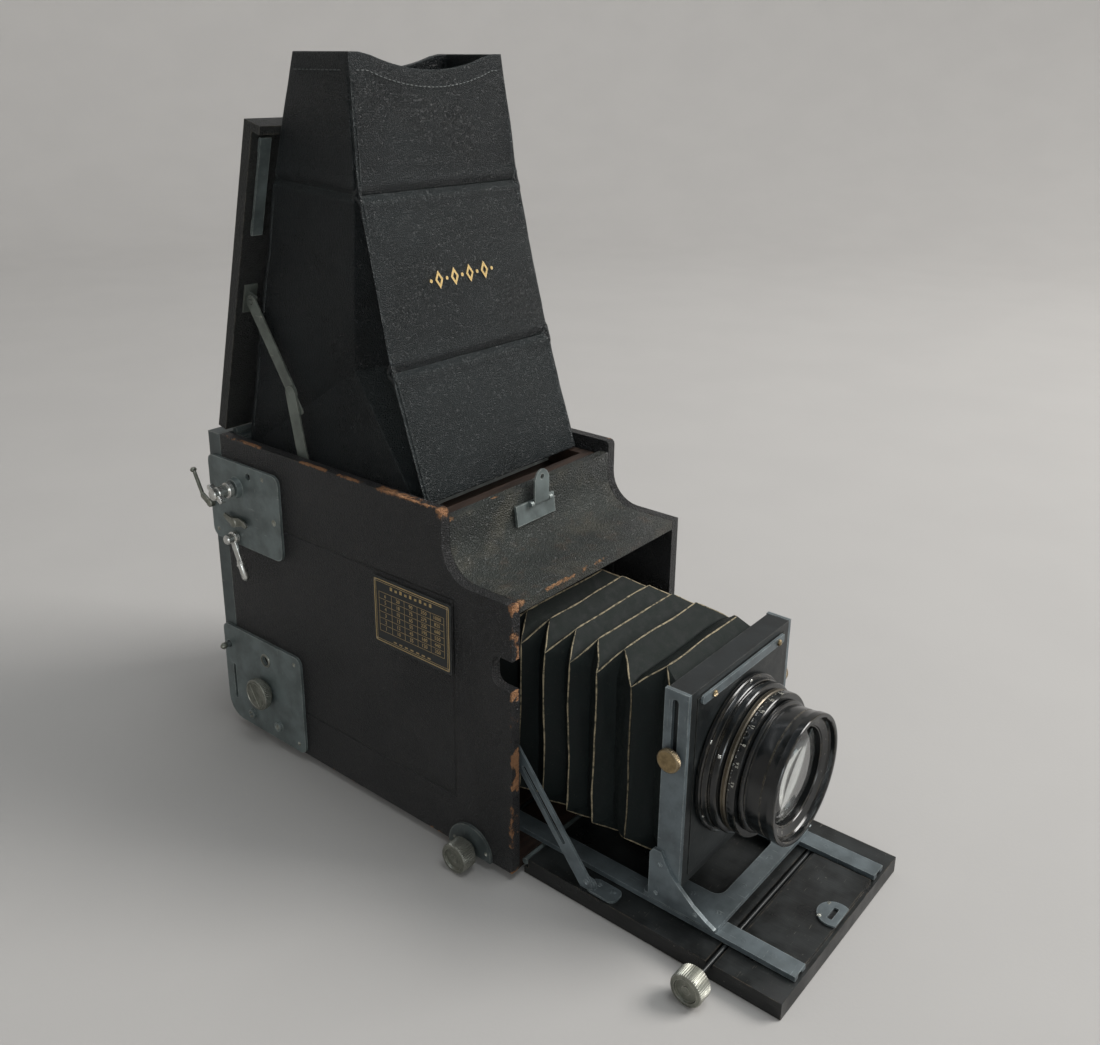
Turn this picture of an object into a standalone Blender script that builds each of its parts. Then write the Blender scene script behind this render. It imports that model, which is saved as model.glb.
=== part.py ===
"""Single-lens-reflex press camera for 4 x 5 inch plates: leather-covered wooden body, folding leather
focusing hood under a hinged lid, drop bed with a rack-and-pinion track, pleated bellows, brass-barrelled
lens, swinging mirror and roller-blind shutter.

Lengths below are in millimetres and are turned into metres where a mesh is made. The camera stands on
Z = 0, X runs across it and the lens looks towards -Y. In the working frame Y = 0 is the front edge of the
body and X = 0 its middle; FRAME_SHIFT then moves the whole camera so that the middle of its base is the origin.
"""

import math

import bmesh
import bpy
from mathutils import Matrix, Vector

# ---------------------------------------------------------------- driving dimensions
FRAME_SHIFT = (6.5, -56.25)
GAP = 0.3

BODY_HALF = 80.0
SIDE_T = 6.5
BODY_BACK = 251.0
REAR_BACK = 264.0
Z_BOTTOM = 5.0
Z_TOP = 217.0
Z_FRONT_WALL = 210.0
Z_ROOF = 176.0
ROOF_T = 6.0
STEP_Y = 51.0
STEP_R = 20.0
FLOOR_T = 5.7

LENS_Z = 88.4
BED_HALF = 69.7
BED_FRONT = -166.5
BED_BOTTOM = 0.4
BED_TOP = 10.4
RAIL_IN, RAIL_OUT = 42.0, 53.5
RAIL_BOTTOM, RAIL_TOP = 11.0, 14.0
RAIL_FRONT, RAIL_BACK = -165.0, 36.0
PINION_X = 47.75
PINION_R = 3.5
SHAFT_Z = 9.6
SHAFT_R = 1.1
BED_SHAFT_Y = -125.0
BODY_SHAFT_Y = 31.0
KNOB_R = 9.3

CARRIER_FRONT, CARRIER_BACK = -95.0, -81.5
RISE_Y, RISE_Z = -87.2, 108.9
CARRIER_HALF = 51.2
CARRIER_LOW, CARRIER_TOP = 29.5, 147.5
UPRIGHT_X = 54.0
UPRIGHT_T = 2.5

LID_AXIS = (248.5, 217.6)
LID_LEAN = 15.0
LID_LENGTH = 203.0
LID_T = 7.5
LID_HALF = 77.5
STAY_LID_T, STAY_LID_S = 94.5, -6.0
STAY_MID = (184.0, 256.0)
STAY_BODY = (172.0, 197.0)

STRUT_TOP = (12.6, 82.0)
STRUT_FOOT = (-43.5, 13.3)

MIRROR_AXIS = (220.0, 184.0)
MIRROR_LENGTH = 135.0
WIND_AXIS = (234.5, 185.0)
TENSION_AXIS = (220.5, 40.0)
BACK_CENTRE_Z = 95.0

HOOD = (  # half width, front y, rear y, front z, rear z
    (68.6, 74.0, 235.0, 210.2, 210.2),
    (68.8, 98.5, 217.2, 284.5, 284.5),
    (66.4, 122.1, 194.3, 378.0, 382.0),
    (60.9, 131.2, 177.7, 452.0, 452.0),
)
HOOD_WALL = 2.0
BELLOWS_BACK, BELLOWS_FRONT = 77.7, -80.8
BELLOWS_Z = 89.0
BELLOWS_FOLDS = (  # y of each fold that stands out at the sides, and of the next one that stands out above and below
    (69.0, 60.5),
    (52.0, 43.5),
    (35.0, 26.5),
    (17.0, 10.6),
    (0.0, -8.7),
    (-17.4, -25.3),
    (-35.0, -42.9),
    (-57.0, -69.5),
)

# ---------------------------------------------------------------- scene
for old in list(bpy.data.objects):
    bpy.data.objects.remove(old, do_unlink=True)

parts = bpy.data.collections.new("press_camera")
bpy.context.scene.collection.children.link(parts)
helpers = bpy.data.collections.new("cutters")
bpy.context.scene.collection.children.link(helpers)

base = bpy.data.objects.new("press_camera_base", None)
base.location = (FRAME_SHIFT[0] / 1000, FRAME_SHIFT[1] / 1000, 0)
parts.objects.link(base)


def material(name, colour, rough, metal=0.0, alpha=1.0, transmission=0.0):
    mat = bpy.data.materials.new(name)
    mat.use_nodes = True
    shader = mat.node_tree.nodes["Principled BSDF"]
    shader.inputs["Base Color"].default_value = (*colour, 1)
    shader.inputs["Roughness"].default_value = rough
    shader.inputs["Metallic"].default_value = metal
    shader.inputs["Alpha"].default_value = alpha
    shader.inputs["Transmission Weight"].default_value = transmission
    return mat


LEATHER = material("body_leather", (0.020, 0.018, 0.017), 0.55)
ROOF_LEATHER = material("roof_leather", (0.045, 0.047, 0.042), 0.45)
HOOD_LEATHER = material("hood_leather", (0.012, 0.015, 0.017), 0.45)
CLOTH = material("bellows_cloth", (0.022, 0.028, 0.025), 0.75)
PAINT = material("blue_grey_enamel", (0.055, 0.065, 0.072), 0.40, 0.5)
BLACK = material("black_enamel", (0.012, 0.012, 0.013), 0.30, 0.2)
NICKEL = material("worn_nickel", (0.40, 0.36, 0.30), 0.40, 1.0)
BRASS = material("aged_brass", (0.32, 0.22, 0.10), 0.45, 1.0)
WOOD = material("stained_wood", (0.040, 0.022, 0.014), 0.60)
GLASS = material("lens_glass", (0.85, 0.93, 0.92), 0.03, 0.0, 0.4, 0.9)
SCREEN = material("ground_glass", (0.70, 0.74, 0.72), 0.5, 0.0, 0.8, 0.3)
SILVER = material("mirror_silver", (0.85, 0.86, 0.88), 0.05, 1.0)
CURTAIN = material("rubberised_cloth", (0.015, 0.015, 0.016), 0.7)


# ---------------------------------------------------------------- mesh helpers
def box(lo, hi):
    bm = bmesh.new()
    bmesh.ops.create_cube(bm, size=1.0)
    lo, hi = Vector(lo), Vector(hi)
    bmesh.ops.scale(bm, vec=hi - lo, verts=bm.verts)
    bmesh.ops.translate(bm, vec=(lo + hi) / 2, verts=bm.verts)
    return bm


def rod(start, end, radius, radius_end=None, sides=24):
    """A cylinder or cone frustum from start to end."""
    start, end = Vector(start), Vector(end)
    along = end - start
    bm = bmesh.new()
    bmesh.ops.create_cone(
        bm,
        cap_ends=True,
        cap_tris=False,
        segments=sides,
        radius1=radius,
        radius2=radius if radius_end is None else radius_end,
        depth=along.length,
    )
    turn = Vector((0, 0, 1)).rotation_difference(along.normalized()).to_matrix().to_4x4()
    bmesh.ops.transform(bm, matrix=Matrix.Translation((start + end) / 2) @ turn, verts=bm.verts)
    return bm


AXES = {  # columns: where the outline's u, v and the thickness direction go
    "x": Matrix(((0, 0, 1), (1, 0, 0), (0, 1, 0))),
    "y": Matrix(((1, 0, 0), (0, 0, -1), (0, 1, 0))),
    "z": Matrix.Identity(3),
}


def plate(outlines, axis, low, high):
    """A flat outline (the first) with holes (the rest), as a filled 2D curve given a thickness."""
    curve = bpy.data.curves.new("outline", "CURVE")
    curve.dimensions = "2D"
    curve.fill_mode = "BOTH"
    curve.extrude = (high - low) / 2
    for points in outlines:
        spline = curve.splines.new("POLY")
        spline.points.add(len(points) - 1)
        for point, (u, v) in zip(spline.points, points):
            point.co = (u, v, 0, 1)
        spline.use_cyclic_u = True
    holder = bpy.data.objects.new("outline", curve)
    helpers.objects.link(holder)
    graph = bpy.context.evaluated_depsgraph_get()
    mesh = bpy.data.meshes.new_from_object(holder.evaluated_get(graph))
    bm = bmesh.new()
    bm.from_mesh(mesh)
    bpy.data.objects.remove(holder, do_unlink=True)
    bpy.data.meshes.remove(mesh)
    bmesh.ops.remove_doubles(bm, verts=bm.verts, dist=1e-4)
    middle = (low + high) / 2
    if axis == "y":
        middle = -middle
    bmesh.ops.translate(bm, vec=(0, 0, middle), verts=bm.verts)
    bmesh.ops.transform(bm, matrix=AXES[axis].to_4x4(), verts=bm.verts)
    bmesh.ops.recalc_face_normals(bm, faces=bm.faces)
    return bm


def arc(centre, radius, start, end, steps):
    """Points on a circle, angles in degrees."""
    out = []
    for i in range(steps + 1):
        a = math.radians(start + (end - start) * i / steps)
        out.append((centre[0] + radius * math.cos(a), centre[1] + radius * math.sin(a)))
    return out


def rounded(lo, hi, radii, steps=5):
    """A rectangle with rounded corners, radii in the order low-low, high-low, high-high, low-high."""
    (u0, v0), (u1, v1) = lo, hi
    corners = ((u0, v0, 1, 1, 180), (u1, v0, -1, 1, 270), (u1, v1, -1, -1, 0), (u0, v1, 1, -1, 90))
    out = []
    for (u, v, du, dv, first), r in zip(corners, radii):
        if r <= 0:
            out.append((u, v))
        else:
            out += arc((u + du * r, v + dv * r), r, first, first + 90, steps)
    return out


def circle(centre, radius, steps=20):
    return arc(centre, radius, 0, 360 - 360 / steps, steps - 1)


def bar(start, end, half_width, ends=6):
    """Outline of a straight bar with round ends."""
    (u0, v0), (u1, v1) = start, end
    angle = math.degrees(math.atan2(v1 - v0, u1 - u0))
    return arc(start, half_width, angle + 90, angle + 270, ends) + arc(end, half_width, angle - 90, angle + 90, ends)


def add(name, bm, mat, origin=(0, 0, 0), smooth=None):
    """A named sub-part. Its own origin lies at origin, which is on the joint's axis for a moving piece."""
    origin = Vector(origin)
    bmesh.ops.translate(bm, vec=-origin, verts=bm.verts)
    bmesh.ops.scale(bm, vec=(0.001, 0.001, 0.001), verts=bm.verts)
    mesh = bpy.data.meshes.new(name)
    bm.to_mesh(mesh)
    bm.free()
    mesh.materials.append(mat)
    obj = bpy.data.objects.new(name, mesh)
    obj.location = origin / 1000
    obj.parent = base
    parts.objects.link(obj)
    if smooth is not None:
        mesh.shade_smooth()
        mesh.set_sharp_from_angle(angle=math.radians(smooth))
    return obj


def helper(bm):
    bmesh.ops.scale(bm, vec=(0.001, 0.001, 0.001), verts=bm.verts)
    bmesh.ops.recalc_face_normals(bm, faces=bm.faces)
    mesh = bpy.data.meshes.new("cutter")
    bm.to_mesh(mesh)
    bm.free()
    obj = bpy.data.objects.new("cutter", mesh)
    obj.parent = base
    obj.hide_render = True
    obj.display_type = "WIRE"
    helpers.objects.link(obj)
    return obj


def boolean(obj, bm, operation):
    tool = helper(bm)
    mod = obj.modifiers.new(operation.lower(), "BOOLEAN")
    mod.operation = operation
    mod.solver = "EXACT"
    mod.object = tool
    return obj


def cut(obj, *tools):
    for bm in tools:
        boolean(obj, bm, "DIFFERENCE")
    return obj


def join(obj, *tools):
    for bm in tools:
        boolean(obj, bm, "UNION")
    return obj


def turned(name, profile, axis, mat, origin, closed, steps=48, smooth=40):
    """A turned piece. profile is (radius, distance along axis) down the outer side; closed for a ring."""
    bm = bmesh.new()
    verts = [bm.verts.new((r / 1000, 0, t / 1000)) for r, t in profile]
    for a, b in zip(verts, verts[1:]):
        bm.edges.new((a, b))
    if closed:
        bm.edges.new((verts[-1], verts[0]))
    mesh = bpy.data.meshes.new(name)
    bm.to_mesh(mesh)
    bm.free()
    mesh.materials.append(mat)
    obj = bpy.data.objects.new(name, mesh)
    obj.parent = base
    obj.location = Vector(origin) / 1000
    obj.rotation_euler = Vector((0, 0, 1)).rotation_difference(Vector(axis)).to_euler()
    parts.objects.link(obj)
    screw = obj.modifiers.new("turn", "SCREW")
    screw.axis = "Z"
    screw.angle = 2 * math.pi
    screw.steps = steps
    screw.render_steps = steps
    screw.use_merge_vertices = True
    screw.merge_threshold = 0.00001
    screw.use_smooth_shade = True
    return obj


def lid_point(t, s):
    """A point on the opened lid: t along it from its hinge, s out from its inner face, as (y, z)."""
    lean = math.radians(LID_LEAN)
    return (
        LID_AXIS[0] - t * math.sin(lean) + s * math.cos(lean),
        LID_AXIS[1] + t * math.cos(lean) + s * math.sin(lean),
    )


def lid_box(x0, x1, t0, t1, s0, s1):
    """A box that lies along the opened lid."""
    return plate([[lid_point(t0, s0), lid_point(t0, s1), lid_point(t1, s1), lid_point(t1, s0)]], "x", x0, x1)


# ---------------------------------------------------------------- body
step_line = (
    [(0, Z_ROOF), (STEP_Y - STEP_R, Z_ROOF)]
    + arc((STEP_Y - STEP_R, Z_ROOF + STEP_R), STEP_R, -90, 0, 8)[1:]
)
side_line = (
    [(0, Z_BOTTOM)]
    + step_line
    + arc((STEP_Y + 3, Z_TOP - 3), 3, 180, 90, 3)
    + [(BODY_BACK, Z_TOP), (BODY_BACK, Z_BOTTOM)]
)
notch = rounded((-6, 124), (14.5, 143), (0, 6, 6, 0))

left = add("left_side_panel", plate([side_line], "x", -BODY_HALF, -BODY_HALF + SIDE_T), LEATHER)
cut(
    left,
    plate([notch], "x", -90, -60),
    rod((-90, BODY_SHAFT_Y, SHAFT_Z), (-60, BODY_SHAFT_Y, SHAFT_Z), 2.1, sides=16),
    rod((-90, *WIND_AXIS), (-60, *WIND_AXIS), 3.3, sides=16),
    rod((-90, *TENSION_AXIS), (-60, *TENSION_AXIS), 3.8, sides=16),
    rod((-77, *STAY_BODY), (-60, *STAY_BODY), 2.1, sides=16),
)
right = add("right_side_panel", plate([side_line], "x", BODY_HALF - SIDE_T, BODY_HALF), LEATHER)
cut(right, rod((60, *MIRROR_AXIS), (90, *MIRROR_AXIS), 2.9, sides=16))

INNER = BODY_HALF - SIDE_T - GAP
bottom = add("bottom_board", box((-INNER, GAP, Z_BOTTOM), (INNER, BODY_BACK, Z_BOTTOM + FLOOR_T)), WOOD)
cut(
    bottom,
    box((-90, BODY_SHAFT_Y - 2.2, SHAFT_Z - 2.0), (PINION_X + 6, BODY_SHAFT_Y + 2.2, 14)),
    box((-PINION_X - 3, BODY_SHAFT_Y - 4.4, 5.7), (-PINION_X + 3, BODY_SHAFT_Y + 4.4, 14)),
    box((PINION_X - 3, BODY_SHAFT_Y - 4.4, 5.7), (PINION_X + 3, BODY_SHAFT_Y + 4.4, 14)),
    box((-70.5, -2, 5.2), (70.5, 2.2, 9.9)),
)

roof_line = (
    step_line
    + [(STEP_Y, Z_FRONT_WALL), (STEP_Y + ROOF_T, Z_FRONT_WALL)]
    + arc((STEP_Y - STEP_R, Z_ROOF + STEP_R), STEP_R + ROOF_T, 0, -90, 8)
    + [(0, Z_ROOF - ROOF_T)]
)
add("front_roof", plate([roof_line], "x", -INNER, INNER), ROOF_LEATHER)

rear_line = (
    [(BODY_BACK + GAP, Z_BOTTOM)]
    + arc((REAR_BACK - 12, Z_BOTTOM + 12), 12, -90, 0, 6)
    + [(REAR_BACK, Z_TOP), (BODY_BACK + GAP, Z_TOP)]
)
rear = add("rear_frame", plate([rear_line], "x", -BODY_HALF, BODY_HALF), PAINT)
join(
    rear,
    box((-INNER, 239.3, 206.0), (INNER, BODY_BACK + 1.5, 214.6)),
    rod((-BODY_HALF + 1, 258.5, 62.5), (-86.5, 258.5, 62.5), 2.2, 1.8, 14),
)
cut(rear, box((-64, 240, BACK_CENTRE_Z - 64), (64, 270, BACK_CENTRE_Z + 64)))

back = add(
    "revolving_back",
    plate(
        [
            rounded((-70, BACK_CENTRE_Z - 75), (70, BACK_CENTRE_Z + 75), (25, 25, 25, 25), 6),
            rounded((-63.5, BACK_CENTRE_Z - 51), (63.5, BACK_CENTRE_Z + 51), (2, 2, 2, 2), 2),
        ],
        "y",
        REAR_BACK + GAP,
        REAR_BACK + 6.3,
    ),
    BLACK,
    (0, REAR_BACK + 3, BACK_CENTRE_Z),
)

foot = rounded((-60, 12), (60, 24), (5, 5, 5, 5), 4)
add("front_foot_bar", plate([foot], "z", 0, Z_BOTTOM - GAP), BLACK)
foot = rounded((-60, 226), (60, 238), (5, 5, 5, 5), 4)
add("rear_foot_bar", plate([foot], "z", 0, Z_BOTTOM - GAP), BLACK)

# ---------------------------------------------------------------- shutter and its controls
add("curtain_roller_top", rod((-69, *WIND_AXIS), (69, *WIND_AXIS), 7, sides=24), WOOD, (0, *WIND_AXIS), 40)
add("curtain_roller_bottom", rod((-69, *TENSION_AXIS), (69, *TENSION_AXIS), 14, sides=28), WOOD, (0, *TENSION_AXIS), 40)
top_edge = (WIND_AXIS[0] + 7.5, WIND_AXIS[1])
low_edge = (TENSION_AXIS[0] + 14.5, TENSION_AXIS[1])
add(
    "shutter_curtain",
    plate([[low_edge, (low_edge[0] + 0.8, low_edge[1]), (top_edge[0] + 0.8, top_edge[1]), top_edge]], "x", -66, 66),
    CURTAIN,
)

upper = add(
    "upper_shutter_plate",
    plate([rounded((191, 144), (263.8, 202), (6, 6, 5, 6)), circle((221.3, 195.3), 2.4, 14)], "x", -82.3, -BODY_HALF - GAP),
    PAINT,
)
join(upper, rod((-81.5, *WIND_AXIS), (-86.0, *WIND_AXIS), 7.2, 6.4, 24))
cut(upper, rod((-90, *WIND_AXIS), (-78, *WIND_AXIS), 3.3, sides=20))

lower = add(
    "lower_shutter_plate",
    plate(
        [
            rounded((181, 6), (263.8, 78), (5, 14, 5, 6)),
            circle((218.1, 63.9), 3.4, 16),
            rounded((253.6, 21), (256.0, 48), (1, 1, 1, 1), 2),
            circle((258.5, 62.5), 2.7, 14),
        ],
        "x",
        -82.3,
        -BODY_HALF - GAP,
    ),
    PAINT,
)
join(
    lower,
    rod((-81.5, 236.7, 15.6), (-84.5, 236.7, 15.6), 3.6, 3.2, 16),
    rod((-81.5, 207.7, 17.4), (-84.5, 207.7, 17.4), 3.6, 3.2, 16),
)
cut(lower, rod((-90, *TENSION_AXIS), (-78, *TENSION_AXIS), 4.0, sides=20))

key = add("winding_key", rod((-69.4, *WIND_AXIS), (-91.5, *WIND_AXIS), 2.9, sides=20), NICKEL, (-85, *WIND_AXIS), 40)
join(
    key,
    rod((-86.4, *WIND_AXIS), (-91.0, *WIND_AXIS), 5.4, 4.6, 20),
    rod((-90.0, *WIND_AXIS), (-101.0, *WIND_AXIS), 4.2, sides=8),
)

tension = add("tension_knob", rod((-69.4, *TENSION_AXIS), (-84, *TENSION_AXIS), 3.4, sides=20), NICKEL, (-85, *TENSION_AXIS), 40)
join(tension, rod((-82.7, *TENSION_AXIS), (-86.5, *TENSION_AXIS), 8.0, sides=28), rod((-85.2, *TENSION_AXIS), (-91.0, *TENSION_AXIS), 11.0, sides=36))

RELEASE = (239.0, 149.0)
release = add("release_lever", rod((-82.7, *RELEASE), (-87.0, *RELEASE), 4.6, sides=20), NICKEL, (-85, *RELEASE), 40)
join(
    release,
    plate([bar(RELEASE, (231.5, 132.0), 2.6)], "x", -86.4, -84.4),
    rod((-85.4, 232.4, 134.0), (-85.4, 227.3, 122.4), 2.5, 2.9, 14),
    rod((-86.5, *RELEASE), (-91.0, *RELEASE), 3.3, 2.9, 16),
)
PAWL = (237.0, 160.5)
pawl = add("pawl_lever", rod((-82.7, *PAWL), (-86.4, *PAWL), 3.4, sides=16), NICKEL, (-85, *PAWL), 40)
join(
    pawl,
    plate([bar(PAWL, (246.0, 163.2), 1.7)], "x", -85.6, -84.0),
    plate([bar(PAWL, (224.5, 163.4), 1.9)], "x", -85.6, -84.0),
)
HOOK = (262.0, 168.0)
hook = add("back_catch_lever", rod((-82.8, *HOOK), (-86.4, *HOOK), 3.0, sides=16), NICKEL, (-84, *HOOK), 40)
join(
    hook,
    plate([bar(HOOK, (268.6, 171.5), 2.0)], "x", -86.2, -84.2),
    plate([bar((268.6, 171.5), (277.0, 187.5), 1.3)], "x", -86.0, -84.4),
    rod((-83.4, 277.2, 187.8), (-87.0, 277.2, 187.8), 1.8, sides=12),
)

add("speed_plate", plate([rounded((44, 118.5), (108, 162.5), (1.5, 1.5, 1.5, 1.5), 2)], "x", -81.1, -BODY_HALF - GAP), BRASS)

# ---------------------------------------------------------------- screen, hood and lid
frame = add("screen_frame", box((-69.9, 59.0, 193.0), (69.9, 238.6, 208.7)), WOOD)
cut(frame, box((-60, 96, 180), (60, 214, 200)), box((-63, 66, 197.5), (63, 229, 220)))
add("focusing_screen", box((-62.6, 92.0, 197.9), (62.6, 218.0, 200.4)), SCREEN)

hood = bmesh.new()
bmesh.ops.create_cube(hood, size=1.0)
bmesh.ops.delete(hood, geom=[f for f in hood.faces if abs(f.normal.z) > 0.5], context="FACES_ONLY")
rings = [sorted((v for v in hood.verts if (v.co.z > 0) == top), key=lambda v: (v.co.x, v.co.y)) for top in (False, True)]


def place_ring(ring, spec):
    half, front, rear_y, front_z, rear_z = spec
    for v in ring:
        front_side = v.co.y < 0
        v.co = (math.copysign(half, v.co.x), front if front_side else rear_y, front_z if front_side else rear_z)


for v in rings[1]:
    v.co.z = 1
edges = [e for e in hood.edges if all(v in rings[1] for v in e.verts)]
levels = [rings[0], rings[1]]
for _ in HOOD[2:]:
    made = bmesh.ops.extrude_edge_only(hood, edges=edges)["geom"]
    ring = [g for g in made if isinstance(g, bmesh.types.BMVert)]
    edges = [g for g in made if isinstance(g, bmesh.types.BMEdge) and all(v in ring for v in g.verts)]
    levels.append(ring)
for ring, spec in zip(levels, HOOD):
    place_ring(ring, spec)
bmesh.ops.recalc_face_normals(hood, faces=hood.faces)
hood_obj = add("focusing_hood", hood, HOOD_LEATHER, (0, 148, 209.2))
shell = hood_obj.modifiers.new("wall", "SOLIDIFY")
shell.thickness = HOOD_WALL / 1000
shell.offset = -1
SCOOP_SAG, SCOOP_HALF = 9.0, 50.0
scoop_r = (SCOOP_HALF**2 + SCOOP_SAG**2) / (2 * SCOOP_SAG)
scoop_z = HOOD[3][3] + scoop_r - SCOOP_SAG
cut(hood_obj, rod((0, 90, scoop_z), (0, 220, scoop_z), scoop_r, sides=96))

H = (0, *LID_AXIS)
lid = add("lid", lid_box(-LID_HALF, LID_HALF, 2.8, LID_LENGTH, 0, LID_T), LEATHER, H)
join(lid, lid_box(-LID_HALF, LID_HALF, LID_LENGTH - 5, LID_LENGTH, -7, 1))
cut(lid, lid_box(-9, 11, LID_LENGTH - 7, LID_LENGTH + 5, -12, 12))

axis_y, axis_z = LID_AXIS
body_leaf = add("lid_hinge_body_leaf", box((-70, 240.3, 214.9), (70, 247.4, 215.9)), PAINT, H)
for x0, x1 in ((-70, -42.3), (-14, 14), (42.3, 70)):
    join(body_leaf, rod((x0, axis_y, axis_z), (x1, axis_y, axis_z), 2.2, sides=16))
cut(body_leaf, box((-42.3, 245.9, 212), (-14, 256, 222)), box((14, 245.9, 212), (42.3, 256, 222)))
join(body_leaf, rod((-69.9, axis_y, axis_z), (69.9, axis_y, axis_z), 1.1, sides=12))

lid_leaf = add("lid_hinge_lid_leaf", lid_box(-41.9, 41.9, 1.2, 12, -1.2, -GAP), PAINT, H)
cut(lid_leaf, lid_box(-14.4, 14.4, 0, 4.0, -4, 4))
for x0, x1 in ((-41.9, -14.4), (14.4, 41.9)):
    join(lid_leaf, rod((x0, axis_y, axis_z), (x1, axis_y, axis_z), 2.2, sides=16))
cut(lid_leaf, rod((-60, axis_y, axis_z), (60, axis_y, axis_z), 1.5, sides=12))

stay_a = lid_point(STAY_LID_T, STAY_LID_S)
bracket = add("lid_stay_bracket", lid_box(-73.1, -64.0, STAY_LID_T - 9, STAY_LID_T + 9, -1.4, -GAP), PAINT, H)
join(
    bracket,
    plate([[lid_point(STAY_LID_T - 5, -1), lid_point(STAY_LID_T + 5, -1), lid_point(STAY_LID_T + 4, -8.5), lid_point(STAY_LID_T - 4, -8.5)]], "x", -70.2, -69.0),
    rod((-69.5, *stay_a), (-71.95, *stay_a), 1.5, sides=14),
)
upper_link = add("lid_stay_upper_link", plate([bar(stay_a, STAY_MID, 4.2), circle(stay_a, 1.9, 14)], "x", -71.8, -70.7), PAINT, (-71, *stay_a))
tail = (
    STAY_MID[0] + (STAY_MID[0] - stay_a[0]) * 0.20,
    STAY_MID[1] + (STAY_MID[1] - stay_a[1]) * 0.20,
)
join(upper_link, plate([bar(STAY_MID, tail, 2.2)], "x", -71.6, -70.9))
lower_link = add("lid_stay_lower_link", plate([bar(STAY_BODY, STAY_MID, 4.6)], "x", -73.1, -72.1), PAINT, (-72, *STAY_BODY))
join(lower_link, rod((-76.4, *STAY_BODY), (-72.5, *STAY_BODY), 1.8, sides=14))

clip = add("lid_clip", lid_box(-73.0, -65.5, 136, 195, -3.2, -1.6), PAINT, H)
join(clip, lid_box(-72.4, -66.1, 137, 145, -2.2, -GAP), lid_box(-72.4, -66.1, 186, 194, -2.2, -GAP))

CATCH = (47.3, 199.6)
catch = add("catch_base", plate([[(47.3, 188.6), (48.9, 188.3), (50.6, 200.7), (49.0, 201.0)]], "x", -20.0, 15.0), PAINT)
join(catch, rod((-9.5, *CATCH), (-7.0, *CATCH), 1.9, sides=12), rod((7.6, *CATCH), (10.0, *CATCH), 1.9, sides=12))
tongue_line = [(-6.2, 199.6), (7.0, 199.6), (7.0, 214.0)] + arc((0.4, 214.0), 6.0, 20, 160, 6) + [(-6.2, 214.0)]
tongue = add("catch_tongue", plate([tongue_line, circle((0.4, 215.2), 1.7, 12)], "y", 46.1, 47.2), PAINT, (0, *CATCH))
join(tongue, rod((-6.4, *CATCH), (7.2, *CATCH), 1.2, sides=12))

# ---------------------------------------------------------------- mirror
py, pz = MIRROR_AXIS
diag = math.sqrt(0.5)


def mirror_point(u, n):
    """u down the mirror from its shaft, n out towards the lens and screen, as (y, z)."""
    return (py - u * diag - n * diag, pz - u * diag + n * diag)


def mirror_box(x0, x1, u0, u1, n0, n1):
    return plate([[mirror_point(u0, n0), mirror_point(u0, n1), mirror_point(u1, n1), mirror_point(u1, n0)]], "x", x0, x1)


mframe = add("mirror_frame", mirror_box(-62, 62, 2, MIRROR_LENGTH, -3.5, 0), WOOD, (0, py, pz))
join(mframe, rod((-62, py, pz), (62, py, pz), 4.0, sides=20))
cut(mframe, rod((-70, py, pz), (70, py, pz), 2.4, sides=16))
join(mframe, mirror_box(-60, 60, MIRROR_LENGTH - 3, MIRROR_LENGTH - 0.6, -1, 2.6))
add("mirror_glass", mirror_box(-60, 60, 8, MIRROR_LENGTH - 4, GAP, 2.6), SILVER, (0, py, pz))
shaft = add("mirror_shaft_lever", rod((-66.0, py, pz), (83.0, py, pz), 2.0, sides=16), NICKEL, (0, py, pz), 40)
join(
    shaft,
    rod((80.4, py, pz), (84.4, py, pz), 6.0, sides=24),
    plate([bar((py, pz), (py - 22, pz - 22), 3.0)], "x", 81.2, 83.4),
    rod((82.4, py - 22, pz - 22), (88.0, py - 22, pz - 22), 3.4, sides=18),
)

# ---------------------------------------------------------------- bed, struts and track
bed = add("drop_bed", box((-BED_HALF, BED_FRONT, BED_BOTTOM), (BED_HALF, -0.4, BED_TOP)), LEATHER)
join(bed, box((-40, -164.2, BED_TOP - 1), (40, -129.2, BED_TOP + 1.8)))
cut(
    bed,
    box((-90, BED_SHAFT_Y - 2.2, SHAFT_Z - 2.0), (PINION_X + 6, BED_SHAFT_Y + 2.2, 20)),
    box((-PINION_X - 3, BED_SHAFT_Y - 4.4, 5.3), (-PINION_X + 3, BED_SHAFT_Y + 4.4, 14)),
    box((PINION_X - 3, BED_SHAFT_Y - 4.4, 5.3), (PINION_X + 3, BED_SHAFT_Y + 4.4, 14)),
    box((-90, -3.4, 4.6), (90, 4, 12)),
)
add("bed_hinge", rod((-69.0, -0.4, 7.5), (69.0, -0.4, 7.5), 2.1, sides=16), PAINT, (0, -0.4, 7.5), 40)
lock_line = [p for p in arc((0.5, -160.5), 9.5, -28, 208, 20)]
add(
    "bed_lock_plate",
    plate([lock_line, rounded((-4.6, -161.2), (5.2, -158.4), (0.4, 0.4, 0.4, 0.4), 1)], "z", BED_TOP + 1.8 + GAP, BED_TOP + 3.2),
    PAINT,
)

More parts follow.
